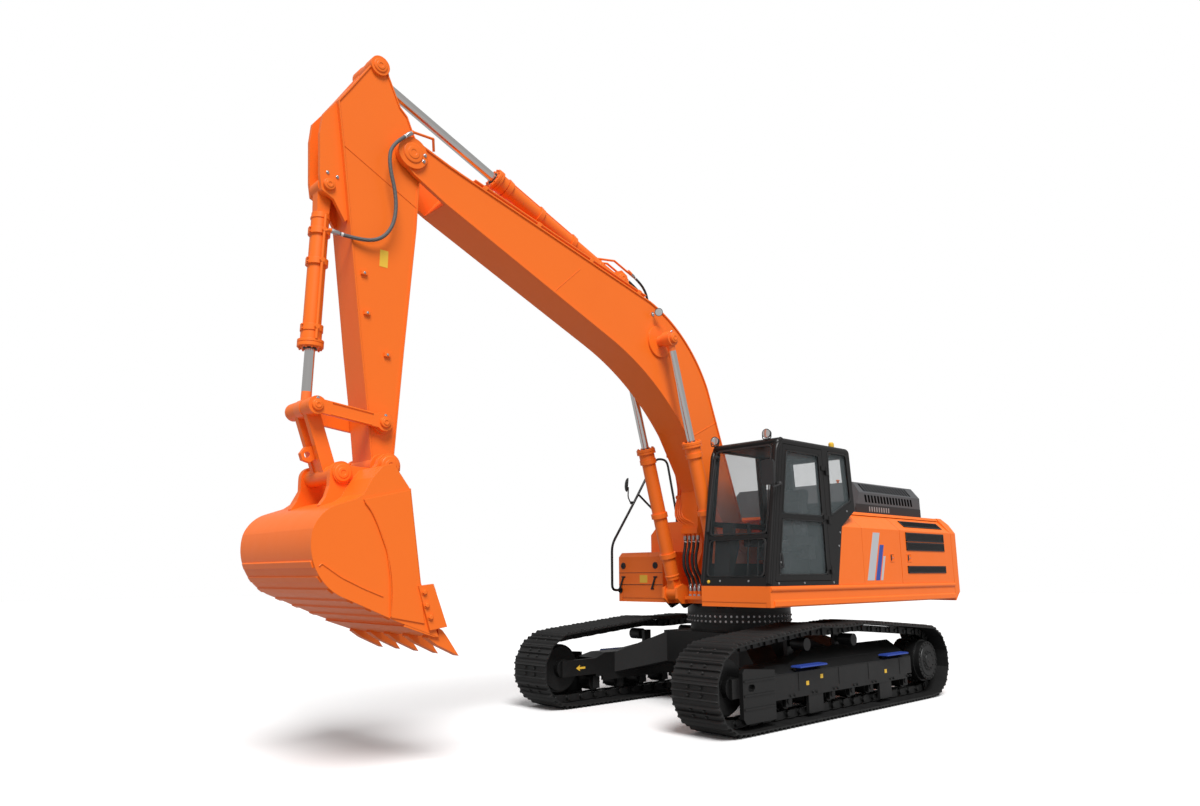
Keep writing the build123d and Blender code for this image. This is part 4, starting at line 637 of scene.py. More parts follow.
def on_slope(x, share, sign, off=0.0):
    """A place on the sloped shoulder: share 0 at the crease, 1 at the top edge."""
    drop = Vector((0, (shoulder_half - house_half), (shoulder_high - 0.045 - crease_high)))
    out = Vector((0, drop.z, -drop.y)).normalized()
    y = house_half + drop.y * share + out.y * off
    return at(x, sign * y, crease_high + drop.z * share + out.z * off)


def louvre(frame_piece, fins, corner, along, above, out, fin_count):
    """A black vent: a raised rim round a dark panel with slanted fins."""
    rim = 0.016
    u, v = along.normalized(), above.normalized()
    frame_piece.plate([corner, corner + along, corner + along + above, corner + above], out * 0.004)
    bars = [(corner, along, v * rim), (corner + above - v * rim, along, v * rim),
            (corner, u * rim, above), (corner + along - u * rim, u * rim, above)]
    for start, one, other in bars:
        fins.plate([start, start + one, start + one + other, start + other], out * 0.010)
    step = (above.length - 2 * rim) / fin_count
    for number in range(fin_count):
        low = corner + v * (rim + step * (number + 0.2)) + u * rim
        run = along - u * 2 * rim
        fins.plate([low + out * 0.001, low + out * 0.012 + v * step * 0.10,
                    low + out * 0.012 + v * step * 0.18,
                    low + out * 0.001 + v * step * 0.62], run)


def house_vents():
    """Vents of the two rear doors, on the upright side and on the shoulder."""
    for side, sign in (("left", 1), ("right", -1)):
        panels, fins = Piece(), Piece()
        out = left * sign
        for low, high, count in ((1.575, 1.668, 4), (1.870, 1.978, 5), (1.990, 2.105, 5)):
            louvre(panels, fins, at(-2.775, sign * house_half, low), front_axis * 1.08,
                   up_axis * (high - low), out, count)
        slope_up = on_slope(0, 1, sign) - on_slope(0, 0, sign)
        slope_out = on_slope(0, 0, sign, 1.0) - on_slope(0, 0, sign)
        louvre(panels, fins, on_slope(-2.86, 0.28, sign), front_axis * 1.09, slope_up * 0.48, slope_out, 5)
        body = f"{side}_rear_leaf"
        panels.done(f"{side}_vent_panels", plastic, body)
        fins.done(f"{side}_vent_fins", plastic, body, bevel=0.0015)


def paddle_latches():
    """Square recessed latches of the side doors, with their keyholes."""
    for side, sign in (("left", 1), ("right", -1)):
        for name, x, z in (("front", -1.300, 1.770), ("rear", -1.750, 1.772)):
            dish, handle, lock = Piece(), Piece(), Piece()
            y = sign * house_half
            rim = 0.052
            ring = [at(x - rim, y, z - rim), at(x + rim, y, z - rim), at(x + rim, y, z + rim),
                    at(x - rim, y, z + rim)]
            inner = [at(x, y, z) + (point - at(x, y, z)) * 0.80 for point in ring]
            out = left * sign
            dish.skin([ring, [point + out * 0.006 for point in ring],
                       [point + out * 0.006 for point in inner],
                       [point + out * 0.001 for point in inner]])
            handle.brick(at(x + 0.012, y, z - 0.034), at(x + 0.036, y + sign * 0.009, z + 0.034))
            lock.turned(at(x - 0.018, y, z), out, [(0, 0.009), (0.007, 0.009), (0.008, 0.006)], 20)
            body = f"{side}_{name}_leaf"
            dish.done(f"{side}_{name}_latch_rim", orange, body, bevel=0.002)
            handle.done(f"{side}_{name}_latch_handle", plastic, body, bevel=0.003)
            lock.done(f"{side}_{name}_latch_lock", zinc, body)


def side_marks():
    """A plain pattern of slanted bars on both sides, in silver and blue."""
    bars = ((-0.66, 0.165, 1.49, 2.08, "silver"), (-0.86, 0.100, 1.49, 1.93, "blue"),
            (-0.985, 0.050, 1.49, 1.79, "silver"))
    lean = 0.34
    for side, sign in (("left", 1), ("right", -1)):
        body = f"{side}_front_leaf"
        shift = 0.0 if sign > 0 else -0.33
        for number, (x, wide, low, high, colour) in enumerate(bars):
            mark = Piece()
            y = sign * house_half
            foot, head = x + shift, x + shift - lean * (high - low)
            outline = [at(foot - wide, y, low), at(foot, y, low), at(head, y, high), at(head - wide, y, high)]
            mark.plate(outline, left * sign * plate_off)
            mark.done(f"{side}_mark_{number + 1}", silver if colour == "silver" else blue, body)


def hood_grilles():
    """Slots on the hood's sides as dark sheets of painted shade for the shaded inside behind them, and the
    dark band below with pale slots of painted light for the bright surround seen through them.
    """
    slots, band, backdrop_light_slots, peg = Piece(), Piece(), Piece(), Piece()
    low, band_high = shoulder_high + 0.0005, 2.490
    for sign in (-1, 1):
        out = left * sign
        foot = Vector((0, sign * hood_half, hood_high - 0.150))
        run = Vector((0, sign * hood_top_half, hood_high)) - foot
        lean_out = Vector((0, sign * run.z, -sign * run.y)).normalized()
        rows = ((foot + run * 0.12, run * 0.74, lean_out, 0.046),
                (Vector((0, sign * hood_half, 2.520)), up_axis * 0.100 + front_axis * 0.020, out, 0.046))
        # The side slots are flat sheets of painted shade on the hood's face.
        for start, rise, push, wide in rows:
            for number in range(16):
                corner = at(-1.500 - number * 0.084, 0, 0) + start
                across = front_axis * wide
                slots.plate([corner, corner + across, corner + across + rise, corner + rise], push * 0.0016)
        # The band's slots are flat plates of painted light, standing for the bright surround seen through
        # them.
        for number in range(9):
            corner = at(-1.560 - number * 0.064, sign * hood_half, 2.398)
            across, rise = front_axis * 0.026, up_axis * 0.066
            backdrop_light_slots.plate([corner, corner + across, corner + across + rise, corner + rise], out * 0.0046)
        band.plate([at(hood_rear, sign * hood_half, low), at(hood_front, sign * hood_half, low),
                    at(hood_front, sign * hood_half, band_high), at(hood_rear, sign * hood_half, band_high)],
                   out * 0.003)
    slots.done("hood_slots_painted_shade", slot_painted_shade, "hood_leaf")
    backdrop_light_slots.done("hood_band_slots_painted_light", pale, "hood_leaf")
    band.done("hood_band", plastic, "hood_leaf")
    peg.turned(at(-1.42, 0.70, hood_high), up_axis,
               [(0, 0.016), (0.03, 0.016), (0.032, 0.026), (0.046, 0.026), (0.05, 0.018)], 18)
    peg.done("hood_peg", orange, "hood_leaf")


# --------------------------------------------------------------- right front box
def front_box_trim():
    """Latches, rubber straps, the lid's seam and the plates of the box beside the boom."""
    x = 0.710
    seam, latches, straps, plate = Piece(), Piece(), Piece(), Piece()
    for y0, y1, z in ((-1.490, -0.670, 1.600), (-1.490, -0.670, 1.445)):
        seam.brick(at(x, y0, z - 0.003), at(x + 0.0012, y1, z + 0.003))
    for y in (-1.40, -0.80):
        latches.turned(at(x, y, 1.695), front_axis,
                       [(0, 0.044), (0.008, 0.044), (0.012, 0.036), (0.012, 0.024),
                                                     (0.004, 0.022)], 28)
        latches.brick(at(x + 0.008, y - 0.030, 1.689), at(x + 0.018, y + 0.030, 1.701))
        lean = -0.06
        straps.plate([at(x, y - 0.014, 1.540), at(x, y + 0.014, 1.540), at(x, y + 0.014 + lean, 1.400),
                      at(x, y - 0.014 + lean, 1.400)], front_axis * 0.016)
        straps.turned(at(x, y - 0.034, 1.545), left, [(0, 0.011), (0.068, 0.011)], 14)
        straps.turned(at(x, y + lean - 0.026, 1.392), left, [(0, 0.010), (0.052, 0.010)], 14)
    plate.brick(at(x, -1.09, 1.47), at(x + 0.002, -0.95, 1.57))
    seam.done("box_seams", plastic, "upper")
    latches.done("box_latches", plastic, "upper", bevel=0.0015)
    straps.done("box_straps", rubber, "upper", bevel=0.004)
    plate.done("box_plate", yellow, "upper")


def handrail():
    """The bent tube rail with its foot plates and bracket."""
    rail, feet = Piece(), Piece()
    y = -house_half + 0.030
    points = [at(0.7103, y, 1.370), at(0.870, y, 1.370), at(0.870, y, 1.980), at(0.400, y, 2.620),
              at(-0.040, y, 3.250),
              at(-0.280, y, 3.250), at(-0.280, -shoulder_half + 0.020, 2.420),
              at(-0.280, -shoulder_half + 0.020, 2.3003)]
    rail.tube(points, 0.017, 16, 0.10)
    rail.tube([at(0.340, y, 2.702), at(0.020, -shoulder_half + 0.020, 2.345),
               at(0.020, -shoulder_half + 0.020, 2.3003)],
              0.015, 14, 0.04)
    for place, aim in ((at(0.7103, y, 1.370), front_axis), (at(-0.280, -1.290, 2.3003), up_axis),
                       (at(0.020, -1.290, 2.3003), up_axis)):
        feet.turned(place, aim, [(0, 0.040), (0.008, 0.040), (0.009, 0.030)], 24)
        across = aim.orthogonal().normalized()
        for turn in (across, -across):
            feet.bolt(place + aim * 0.008 + turn * 0.029, aim, 0.008, 0.007)
    rail.done("handrail_tube", black, "upper", replaces=("handrail",))
    feet.done("handrail_feet", black, "upper")


def mirrors():
    """The round mirror on the rail and the tall one on the cab, with their arms."""
    shells, arms, faces = Piece(), Piece(), Piece()
    y = -house_half + 0.030 - 0.017
    hub = at(0.515, y - 0.035, 2.830)
    aim = (front_axis * -0.75 + left * 0.66 - up_axis * 0.10).normalized()
    shells.turned(hub - aim * 0.030, aim, [(0, 0.030), (0.006, 0.062), (0.016, 0.086), (0.030, 0.098),
                                           (0.040, 0.100),
                                           (0.044, 0.096), (0.042, 0.092)], 40)
    faces.turned(hub + aim * 0.0125, aim, [(0, 0.0915), (0.001, 0.0915)], 40)
    arms.tube([at(0.430, y + 0.004, 2.579), at(0.430, y - 0.050, 2.579), at(0.480, y - 0.050, 2.66),
               at(0.485, y - 0.036, 2.80)],
              0.009, 12, 0.03)
    arms.turned(at(0.430, y + 0.017 - 0.03, 2.579), left * -1, [(0, 0.022), (0.030, 0.022)], 16)
    # tall mirror beside the windscreen
    low, high = at(1.400, house_half + 0.025, 2.520), at(1.455, house_half + 0.185, 2.790)
    rings = []
    for share, grow in ((0.0, 0.72), (0.25, 0.93), (0.6, 1.0), (1.0, 1.0)):
        middle = (low + high) / 2
        x = low.x + (high.x - low.x) * share
        half_y, half_z = (high.y - low.y) / 2 * grow, (high.z - low.z) / 2 * grow
        ring = []
        for number in range(32):
            turn = 2 * pi * number / 32
            c, s = cos(turn), sin(turn)
            squareness = 0.22
            ring.append(Vector((x, middle.y + half_y * abs(c) ** squareness * (1 if c > 0 else -1),
                                middle.z + half_z * abs(s) ** squareness * (1 if s > 0 else -1))))
        rings.append(ring)
    shells.skin(rings[::-1])
    mount = at(1.160 - 0.04, house_half, 2.560)
    arms.tube([mount, mount + left * 0.055, at(1.330, house_half + 0.075, 2.50),
               at(1.385, house_half + 0.10, 2.545),
               at(1.402, house_half + 0.10, 2.640)], 0.011, 12, 0.04)
    arms.turned(mount - left * 0.002, left, [(0, 0.026), (0.04, 0.026), (0.05, 0.018)], 20)
    arms.turned(at(1.402, house_half + 0.10, 2.640), front_axis, [(0, 0.020), (0.016, 0.020)], 18)
    shells.done("mirror_shells", plastic, "upper", replaces=("mirrors",), angle=40)
    faces.done("mirror_faces", chrome, "upper")
    arms.done("mirror_arms", plastic, "upper")


# --------------------------------------------------------------------- the cab
cab_front = 1.350
cab_inner = 0.520
cab_roof = 3.100
cab_top_front = 1.070


def screen_x(height):
    """The windscreen's face at a height."""
    return cab_front - (cab_front - cab_top_front) * (height - skirt_high) / (cab_roof - skirt_high)


def rounded(corners, radius, steps=5):
    """A closed outline with each corner turned into an arc."""
    outline = []
    count = len(corners)
    for number, corner in enumerate(corners):
        before, after = corners[number - 1], corners[(number + 1) % count]
        back, on = (before - corner).normalized(), (after - corner).normalized()
        start, finish = corner + back * radius, corner + on * radius
        for step in range(steps + 1):
            share = step / steps
            outline.append(start * (1 - share) ** 2 + corner * 2 * share * (1 - share) + finish * share ** 2)
    return outline


def border(piece, corners, out, wide, high, radius):
    """A raised rubber or steel border round an opening."""
    middle = sum(corners, Vector()) / len(corners)
    outer = rounded(corners, radius)
    inner = [point + (middle - point).normalized() * wide for point in outer]
    crown = [point + (middle - point).normalized() * wide * 0.5 + out * high for point in outer]
    edge = [point + out * high * 0.6 for point in outer]
    lip = [point + out * high * 0.6 for point in inner]
    piece.skin([outer, edge, crown, lip, inner], closed_ends=False)


def pane_front(height):
    """The front edge of the door's panes at a height: behind the windscreen's post and the door's frame."""
    return screen_x(height) - 0.157


def cab_borders():
    """Seals round the windows and the door's panes, and the door's handle and lock."""
    seals = Piece()
    y = house_half
    lean = (screen_x(3.0) - screen_x(1.5)) / 1.5
    face = Vector((1, 0, -lean)).normalized()
    low_pane = [at(screen_x(1.545), 0.600, 1.545), at(screen_x(1.545), 1.410, 1.545),
                at(screen_x(1.960), 1.410, 1.960),
                at(screen_x(1.960), 0.600, 1.960)]
    top_pane = [at(screen_x(2.010), 0.600, 2.010), at(screen_x(2.010), 1.410, 2.010),
                at(screen_x(3.020), 1.410, 3.020),
                at(screen_x(3.020), 0.600, 3.020)]
    for pane in (low_pane, top_pane):
        border(seals, pane, face, 0.022, 0.010, 0.055)
    quarter = [at(-0.385, y, 2.445), at(0.080, y, 2.245), at(0.080, y, 3.020), at(-0.335, y, 3.020)]
    for sign_y, out in ((house_half, left), (cab_inner, -left)):
        border(seals, [Vector((point.x, sign_y, point.z)) for point in quarter], out, 0.020, 0.008, 0.045)
    seals.done("cab_seals", rubber, "upper", angle=60)
    door_seals, handle, steel = Piece(), Piece(), Piece()
    upper = [at(0.245, y, 2.232), at(pane_front(2.232), y, 2.232), at(pane_front(2.960), y, 2.960),
             at(0.275, y, 2.960)]
    lower = [at(0.215, y, 1.565), at(pane_front(1.565), y, 1.565), at(pane_front(2.178), y, 2.178),
             at(0.235, y, 2.178)]
    for pane in (upper, lower):
        border(door_seals, pane, left, 0.018, 0.008, 0.05)
    door_seals.done("door_seals", rubber, "cab_door_leaf", angle=60)
    # recessed door handle near the front edge, and its lock
    x = pane_front(1.75) + 0.005
    handle.plate(rounded([at(x - 0.075, y, 1.640), at(x + 0.02, y, 1.640), at(x + 0.005, y, 1.800),
                          at(x - 0.05, y, 1.800)], 0.018),
                 left * 0.006)
    handle.brick(at(x - 0.045, y + 0.006, 1.665), at(x - 0.020, y + 0.018, 1.775))
    steel.turned(at(x - 0.005, y + 0.006, 1.700), left, [(0, 0.010), (0.004, 0.010)], 18)
    handle.done("door_handle", plastic, "cab_door_leaf", bevel=0.003)
    steel.done("door_lock", zinc, "cab_door_leaf")


def cab_outside():
    """Front pillar tubes, roof edge, wiper, lamps, hinge caps, screws and the marker lamp."""
    pillars, wiper, caps = Piece(), Piece(), Piece()
    for y in (cab_inner + 0.028, house_half - 0.028):
        pillars.tube([at(screen_x(1.470) - 0.010, y, 1.470), at(screen_x(2.990) - 0.010, y, 2.990),
                      at(screen_x(3.10) - 0.090, y, 3.085)], 0.030, 16, 0.12)
    pillars.tube([at(screen_x(3.060) - 0.012, cab_inner + 0.05, 3.058),
                  at(screen_x(3.060) - 0.012, house_half - 0.05, 3.058)],
                 0.026, 14)
    pillars.done("cab_pillar_tubes", black, "upper")
    # wiper at the right edge of the windscreen
    for start, finish, wide in (((2.930, 0.615), (2.060, 0.585), 0.012),
                                ((2.800, 0.640), (2.060, 0.600), 0.006)):
        wiper.tube([at(screen_x(start[0]) + 0.030, start[1], start[0]),
                    at(screen_x(finish[0]) + 0.030, finish[1], finish[0])],
                   wide, 8)
    wiper.turned(at(screen_x(2.940) - 0.004, 0.62, 2.940), front_axis,
                 [(0, 0.030), (0.040, 0.026), (0.046, 0.016)], 18)
    wiper.done("cab_wiper", plastic, "upper")
    foot_screws = 1.500
    for y in (0.56, 0.80, 1.20, 1.45):
        caps.bolt(at(screen_x(foot_screws), y, foot_screws), front_axis, 0.009, 0.007)
    for x, z in ((1.19, 1.475), (0.70, 1.475), (0.10, 1.475), (-0.06, 1.90), (-0.10, 2.06), (-0.28, 2.32)):
        caps.turned(at(x, house_half, z), left, [(0, 0.012), (0.004, 0.012), (0.006, 0.007)], 16)
    caps.done("cab_screws", zinc, "upper")
    marker = Piece()
    marker.turned(at(screen_x(1.49), 0.635, 1.490), front_axis, [(0, 0.020), (0.010, 0.018), (0.014, 0.010)],
                  20)
    marker.turned(at(-0.280, house_half - 0.16, 3.1003), up_axis,
                  [(0, 0.030), (0.006, 0.034), (0.07, 0.034), (0.086, 0.022)], 24)
    marker.done("marker_lamps", yellow, "upper")
    lamps()


def lamps():
    """Work lamps on the roof and on the boom: a housing with a bezel, a bright reflector face and a stirrup.
    """
    housings, lenses, stirrups = Piece(), Piece(), Piece()
    spots = ((at(cab_top_front + 0.010, cab_inner + 0.060, cab_roof + 0.052), front_axis * 0.97 + left * 0.2),
             (at(cab_top_front + 0.010, house_half - 0.150, cab_roof + 0.052),
              front_axis * 0.97 + left * 0.2))
    for place, aim in spots:
        aim = aim.normalized()
        housings.turned(place - aim * 0.055, aim, [(0, 0.020), (0.006, 0.034), (0.020, 0.046), (0.055, 0.052),
                                                   (0.064, 0.054),
                                                   (0.068, 0.050), (0.064, 0.045)], 28)
        lenses.turned(place + aim * 0.0085, aim, [(0, 0.0455), (0.002, 0.0455), (0.004, 0.036)], 28)
        stirrups.tube([place + left * 0.060, place + left * 0.058 - up_axis * 0.06,
                       place - left * 0.058 - up_axis * 0.06, place - left * 0.060], 0.006, 8, 0.02)
        stirrups.turned(place - up_axis * 0.072, up_axis, [(0, 0.020), (0.014, 0.016)], 16)
    housings.done("roof_lamp_housings", plastic, "upper", replaces=("roof_lamps",))
    lenses.done("roof_lamp_lenses", lens, "upper")
    stirrups.done("roof_lamp_stirrups", plastic, "upper")
    node_low, node_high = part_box("boom_lamp")
    middle = (node_low + node_high) / 2
    place = Vector((node_high.x - 0.045, node_high.y - 0.055, middle.z))
    aim = (front_axis * 0.55 + left * 0.6 - up_axis * 0.35).normalized()
    housing, face, stem = Piece(), Piece(), Piece()
    housing.turned(place - aim * 0.050, aim, [(0, 0.018), (0.006, 0.032), (0.020, 0.044), (0.050, 0.050),
                                              (0.058, 0.050),
                                              (0.060, 0.045)], 28)
    face.turned(place + aim * 0.0085, aim, [(0, 0.044), (0.002, 0.044), (0.003, 0.036)], 28)
    foot = Vector((node_low.x + 0.03, node_low.y, middle.z))
    stem.tube([foot, foot + left * 0.045, place - aim * 0.03 - up_axis * 0.045], 0.007, 8, 0.02)
    stem.turned(foot, left, [(0, 0.026), (0.006, 0.026), (0.008, 0.018)], 20)
    housing.done("boom_lamp_housing", plastic, "boom_group", replaces=("boom_lamp",))
    face.done("boom_lamp_face", lens, "boom_group")
    stem.done("boom_lamp_stem", zinc, "boom_group")


# ------------------------------------------------------------------ working gear
def pin_cap(piece, centre, out, radius):
    """A pin's end, in stepped rings."""
    piece.turned(centre, out, [(0, radius), (0.004, radius), (0.010, radius * 0.93), (0.012, radius * 0.80),
                               (0.012, radius * 0.62),
                               (0.017, radius * 0.58), (0.018, radius * 0.30), (0.014, radius * 0.26)], 36)


def boom_trim():
    """Pin ends, bolts and weld seams of the boom."""
    caps, bolts, seams = Piece(), Piece(), Piece()
    for sign in (-1, 1):
        out = left * sign
        pin_cap(caps, boom(boom.long, 0, sign * 0.245), out, 0.105)
        bolts.bolt(boom(boom.long - 0.125, 0.03, sign * 0.245), out, 0.014, 0.012)
        bolts.bolt(boom(boom.long - 0.095, 0.09, sign * 0.245), out, 0.014, 0.012)
        pin_cap(caps, pins["crowd_barrel_tilt"] + out * 0.164, out, 0.060)
        seams.tube([at(1.120, sign * 0.2115, 3.230), at(0.600, sign * 0.2115, 3.485)], 0.004, 6)
        seams.tube([boom(4.05, 0.27, sign * 0.2115), boom(3.95, 0.80, sign * 0.2115)], 0.0035, 6)
    caps.done("boom_pin_ends", orange, "boom_group", angle=25)
    bolts.done("boom_bolts", zinc, "boom_group")
    seams.done("boom_seams", orange, "boom_group")


def arm_trim():
    """Pin ends, seams, the blank plate and the small brackets of the arm."""
    caps, bolts, seams, plate, clips = Piece(), Piece(), Piece(), Piece(), Piece()
    for sign in (-1, 1):
        out = left * sign
        crowd_eye = pins["crowd_rod_slide"]
        pin_cap(caps, crowd_eye + out * 0.193, out, 0.072)
        pin_cap(caps, curl.start + out * 0.146, out, 0.056)
        bolts.bolt(curl.start + out * 0.13 + Vector((0.02, 0, 0.115)), out, 0.012, 0.010)
        bolts.bolt(curl.start + out * 0.13 + Vector((-0.075, 0, 0.10)), out, 0.012, 0.010)
        seams.tube([at(5.800, sign * 0.166, 5.480), at(5.030, sign * 0.166, 5.100)], 0.004, 6)
        for x, z in ((5.544, 4.301), (5.494, 3.929), (5.274, 3.572)):
            clips.brick(at(x - 0.030, sign * 0.164, z - 0.020), at(x + 0.030, sign * 0.190, z + 0.020))
            bolts.bolt(at(x, sign * 0.190, z), out, 0.009, 0.008)
    plate.brick(at(5.305, 0.165, 4.410), at(5.390, 0.1672, 4.575))
    caps.done("arm_pin_ends", orange, "arm_group", angle=25)
    bolts.done("arm_bolts", zinc, "arm_group")
    seams.done("arm_seams", orange, "arm_group")
    clips.done("arm_clips", orange, "arm_group", bevel=0.003)
    plate.done("arm_plate", yellow, "arm_group")


def linkage_trim():
    """Pin ends and ribs of the side links, and the ends of the bucket's pins."""
    caps, bolts, ribs = Piece(), Piece(), Piece()
    side_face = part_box("side_links")[1].y - 0.009
    for sign in (-1, 1):
        out = left * sign
        for place in (pins["side_link_tilt"], pins["curl_rod_slide"]):
            pin_cap(caps, place + out * 0.253, out, 0.050)
            bolts.bolt(place + out * 0.244 + Vector((0.0, 0, 0.062)), out, 0.011, 0.009)
    run = pins["curl_rod_slide"] - pins["side_link_tilt"]
    for sign in (-1, 1):
        for edge in (-1, 1):
            rise = run.normalized().cross(left) * edge * 0.052
            foot = pins["side_link_tilt"] + rise + left * sign * side_face
            ribs.tube([foot + run * 0.20, foot + run * 0.80], 0.009, 8)
    ribs.done("side_link_ribs", orange, "side_link_pair")
    caps.done("side_link_ends", orange, "side_link_pair", angle=25)
    bolts.done("side_link_bolts", zinc, "side_link_pair")
    caps = Piece()
    for sign in (-1, 1):
        out = left * sign
        for place, radius in ((pins["bucket_curl"], 0.088), (pins["bucket_link_tilt"], 0.078)):
            pin_cap(caps, place + out * 0.340, out, radius)
    caps.done("bucket_pin_ends", orange, "bucket_group", angle=25)


def hose_tubes():
    """Steel tubes from the main hoses' tops up the boom's underside, and nuts on the deck's block."""
    tubes, clamps, deck = Piece(), Piece(), Piece()
    for number in range(4):
        y = -0.215 + 0.070 * number
        spread = -0.262 - 0.036 * (3 - number)
        tubes.tube([at(0.760, y, 2.085), at(0.775, y, 2.185), at(0.800, spread + 0.03, 2.290),
                    at(0.760, spread, 2.420),
                    at(0.690, spread, 2.620), at(0.740, spread, 2.880), at(0.980, spread, 3.300)], 0.014, 12,
                   0.09)
        clamps.turned(at(0.760, y, 2.052), up_axis,
                      [(0, 0.022), (0.012, 0.030), (0.030, 0.030), (0.036, 0.022)], 6)
        lower = y + 0.036
        deck.turned(at(0.722, lower, 1.305), up_axis,
                    [(0, 0.030), (0.028, 0.030), (0.030, 0.024), (0.056, 0.024)], 6)
    for x, z in ((0.700, 2.560), (0.860, 3.090)):
        clamps.brick(at(x - 0.030, -0.392, z - 0.022), at(x + 0.030, -0.228, z + 0.022))
        for y in (-0.244, -0.316, -0.380):
            clamps.bolt(at(x + 0.030, y, z), front_axis, 0.009, 0.010)
    tubes.done("hose_tubes", orange, "boom_group")
    clamps.done("hose_tube_clamps", orange, "boom_group", bevel=0.003)
    deck.done("hose_block_fittings", zinc, "upper", angle=30)


def skirt_moulding():
    """The rounded ledge along the top of the skirts, and the step pressed into their faces."""
    ledge, lower = Piece(), Piece()
    profile = [(-0.002, 1.441), (0.012, 1.438), (0.019, 1.428), (0.019, 1.404), (0.012, 1.392),
               (-0.002, 1.380)]
    for sign, front in ((1, cab_front - 0.004), (-1, 0.660)):
        rear = -3.010
        ring = [[at(x, sign * (house_half + off), z) for off, z in profile] for x in (rear, front)]
        ledge.skin(ring)
        step = [(-0.002, 1.300), (0.010, 1.286), (0.010, 1.232), (-0.002, 1.224)]
        lower.skin([[at(x, sign * (house_half + off), z) for off, z in step] for x in (rear, front - 0.060)])
    ledge.done("skirt_ledges", orange, "upper", bevel=0.002)
    lower.done("skirt_steps", orange, "upper", bevel=0.002)


def glands():
    """Bolted glands at the mouths of the barrels, a welded ring at the other end and bands for the lines."""
    table = ((lift, "lift_barrel_pair", "lift", (-0.385, 0.385), 0.086, 0.048, 1.860, 0.175,
              (0.480, 1.000, 1.700)),
             (crowd, "crowd_barrel_body", "crowd", (0.0,), 0.090, 0.052, 1.950, 0.270, (0.760, 1.280, 1.760)),
             (curl, "curl_barrel_body", "curl", (0.0,), 0.080, 0.045, 1.512, 0.250, (0.430, 0.720, 1.340)))
    for line, body, name, sides_at, radius, bore, long, neck, bands in table:
        rings, heads, seals = Piece(), Piece(), Piece()
        for side in sides_at:
            rings.turned(line(long - 0.062, 0, side), line.ahead,
                         [(0, radius + 0.004), (0.0, radius + 0.034), (0.026, radius + 0.034),
                          (0.026, radius + 0.026),
                          (0.030, radius + 0.026), (0.030, radius + 0.034), (0.062, radius + 0.034),
                          (0.067, radius + 0.026),
                          (0.067, bore + 0.012)], 48)
            rings.turned(line(neck + 0.035, 0, side), line.ahead,
                         [(0, radius - 0.002), (0.006, radius + 0.007), (0.020, radius + 0.007),
                          (0.026, radius - 0.002)], 40)
            seals.turned(line(long + 0.004, 0, side), line.ahead,
                         [(0, bore + 0.016), (0.010, bore + 0.014), (0.012, bore + 0.001)], 36)
            for number in range(12):
                turn = 2 * pi * (number + 0.5) / 12
                place = line(long + 0.005, sin(turn) * (radius + 0.014), side + cos(turn) * (radius + 0.014))
                heads.bolt(place, line.ahead, 0.009, 0.012)
            for along in bands:
                rings.turned(line(along - 0.030, 0, side), line.ahead,
                             [(0, radius + 0.001), (0, radius + 0.019), (0.060, radius + 0.019),
                              (0.060, radius + 0.001)], 40)
                for rim in (-0.018, 0.018):
                    heads.bolt(line(along + rim, radius + 0.018, side + 0.030), line.out, 0.008, 0.009)
        rings.done(name + "_barrel_rings", orange, body, angle=30)
        seals.done(name + "_barrel_seals", rubber, body)
        heads.done(name + "_barrel_bolts", orange, body)


def bucket_trim():
    """The bucket's wear strips, the bead along its side, and the bolts of its side cutters."""
    strips, beads, heads = Piece(), Piece(), Piece()
    # places on the shell's back, and the way out there
    centre, radius = (0.5335, 0.5841), 0.4639
    heel = [((centre[0] + radius * cos(radians(turn)), centre[1] + radius * sin(radians(turn))),
             (cos(radians(turn)), sin(radians(turn)))) for turn in (86, 70, 54)]
    for share in (0.10, 0.45, 0.82):
        heel.append(((0.905 + 0.320 * share, 0.862 - 0.372 * share), (0.758, 0.652)))
    for share in (0.25, 0.70):
        heel.append(((1.225 + 0.233 * share, 0.490 - 0.332 * share), (0.819, 0.574)))
    for (u, v), (ox, oz) in heel:
        along, out = Vector((-oz, ox)), Vector((ox, oz))
        corners = []
        for end, rise in ((-0.032, -0.004), (-0.026, 0.012), (0.026, 0.012), (0.032, -0.004)):
            corners.append(bucket(u + along.x * end + out.x * rise, v + along.y * end + out.y * rise, -0.700))
        strips.plate(corners, left * 1.400)
    for sign in (-1, 1):
        side = sign * 0.7255
        beads.tube([bucket(u, v, side) for u, v in ((0.593, 1.012), (0.577, 0.986), (0.729, 0.861),
                                                    (0.872, 0.705), (0.989, 0.560))],
                   0.006, 8, 0.03)
        beads.tube([bucket(u, v, sign * 0.7345) for u,
                    v in ((0.215, 0.520), (0.300, 0.482), (0.421, 0.457), (0.661, 0.432),
                                                              (0.885, 0.462), (1.165, 0.538))], 0.005, 8,
                   0.05)
        for u, v in ((1.075, 0.205), (1.185, 0.212), (1.290, 0.205)):
            heads.bolt(bucket(u, v, sign * 0.748), left * sign, 0.021, 0.018)
    strips.done("bucket_wear_strips", orange, "bucket_group", bevel=0.003)
    beads.done("bucket_beads", orange, "bucket_group")
    heads.done("bucket_cutter_bolts", orange, "bucket_group", angle=30)


def lift_trim():
    """Pin ends of the boom cylinders at the rods' heads, with their bolts."""
    caps, bolts = Piece(), Piece()
    for sign in (-1, 1):
        out = left * sign
        pin_cap(caps, pins["lift_rod_slide"] + out * 0.466, out, 0.062)
        bolts.bolt(pins["lift_rod_slide"] + out * 0.445 + Vector((0.03, 0, 0.078)), out, 0.011, 0.009)
    caps.done("lift_rod_ends", orange, "lift_rod_pair", angle=25)
    bolts.done("lift_rod_bolts", zinc, "lift_rod_pair")


# ------------------------------------------------------------------ undercarriage
guard_face = 1.5345
frame_face = 1.4845


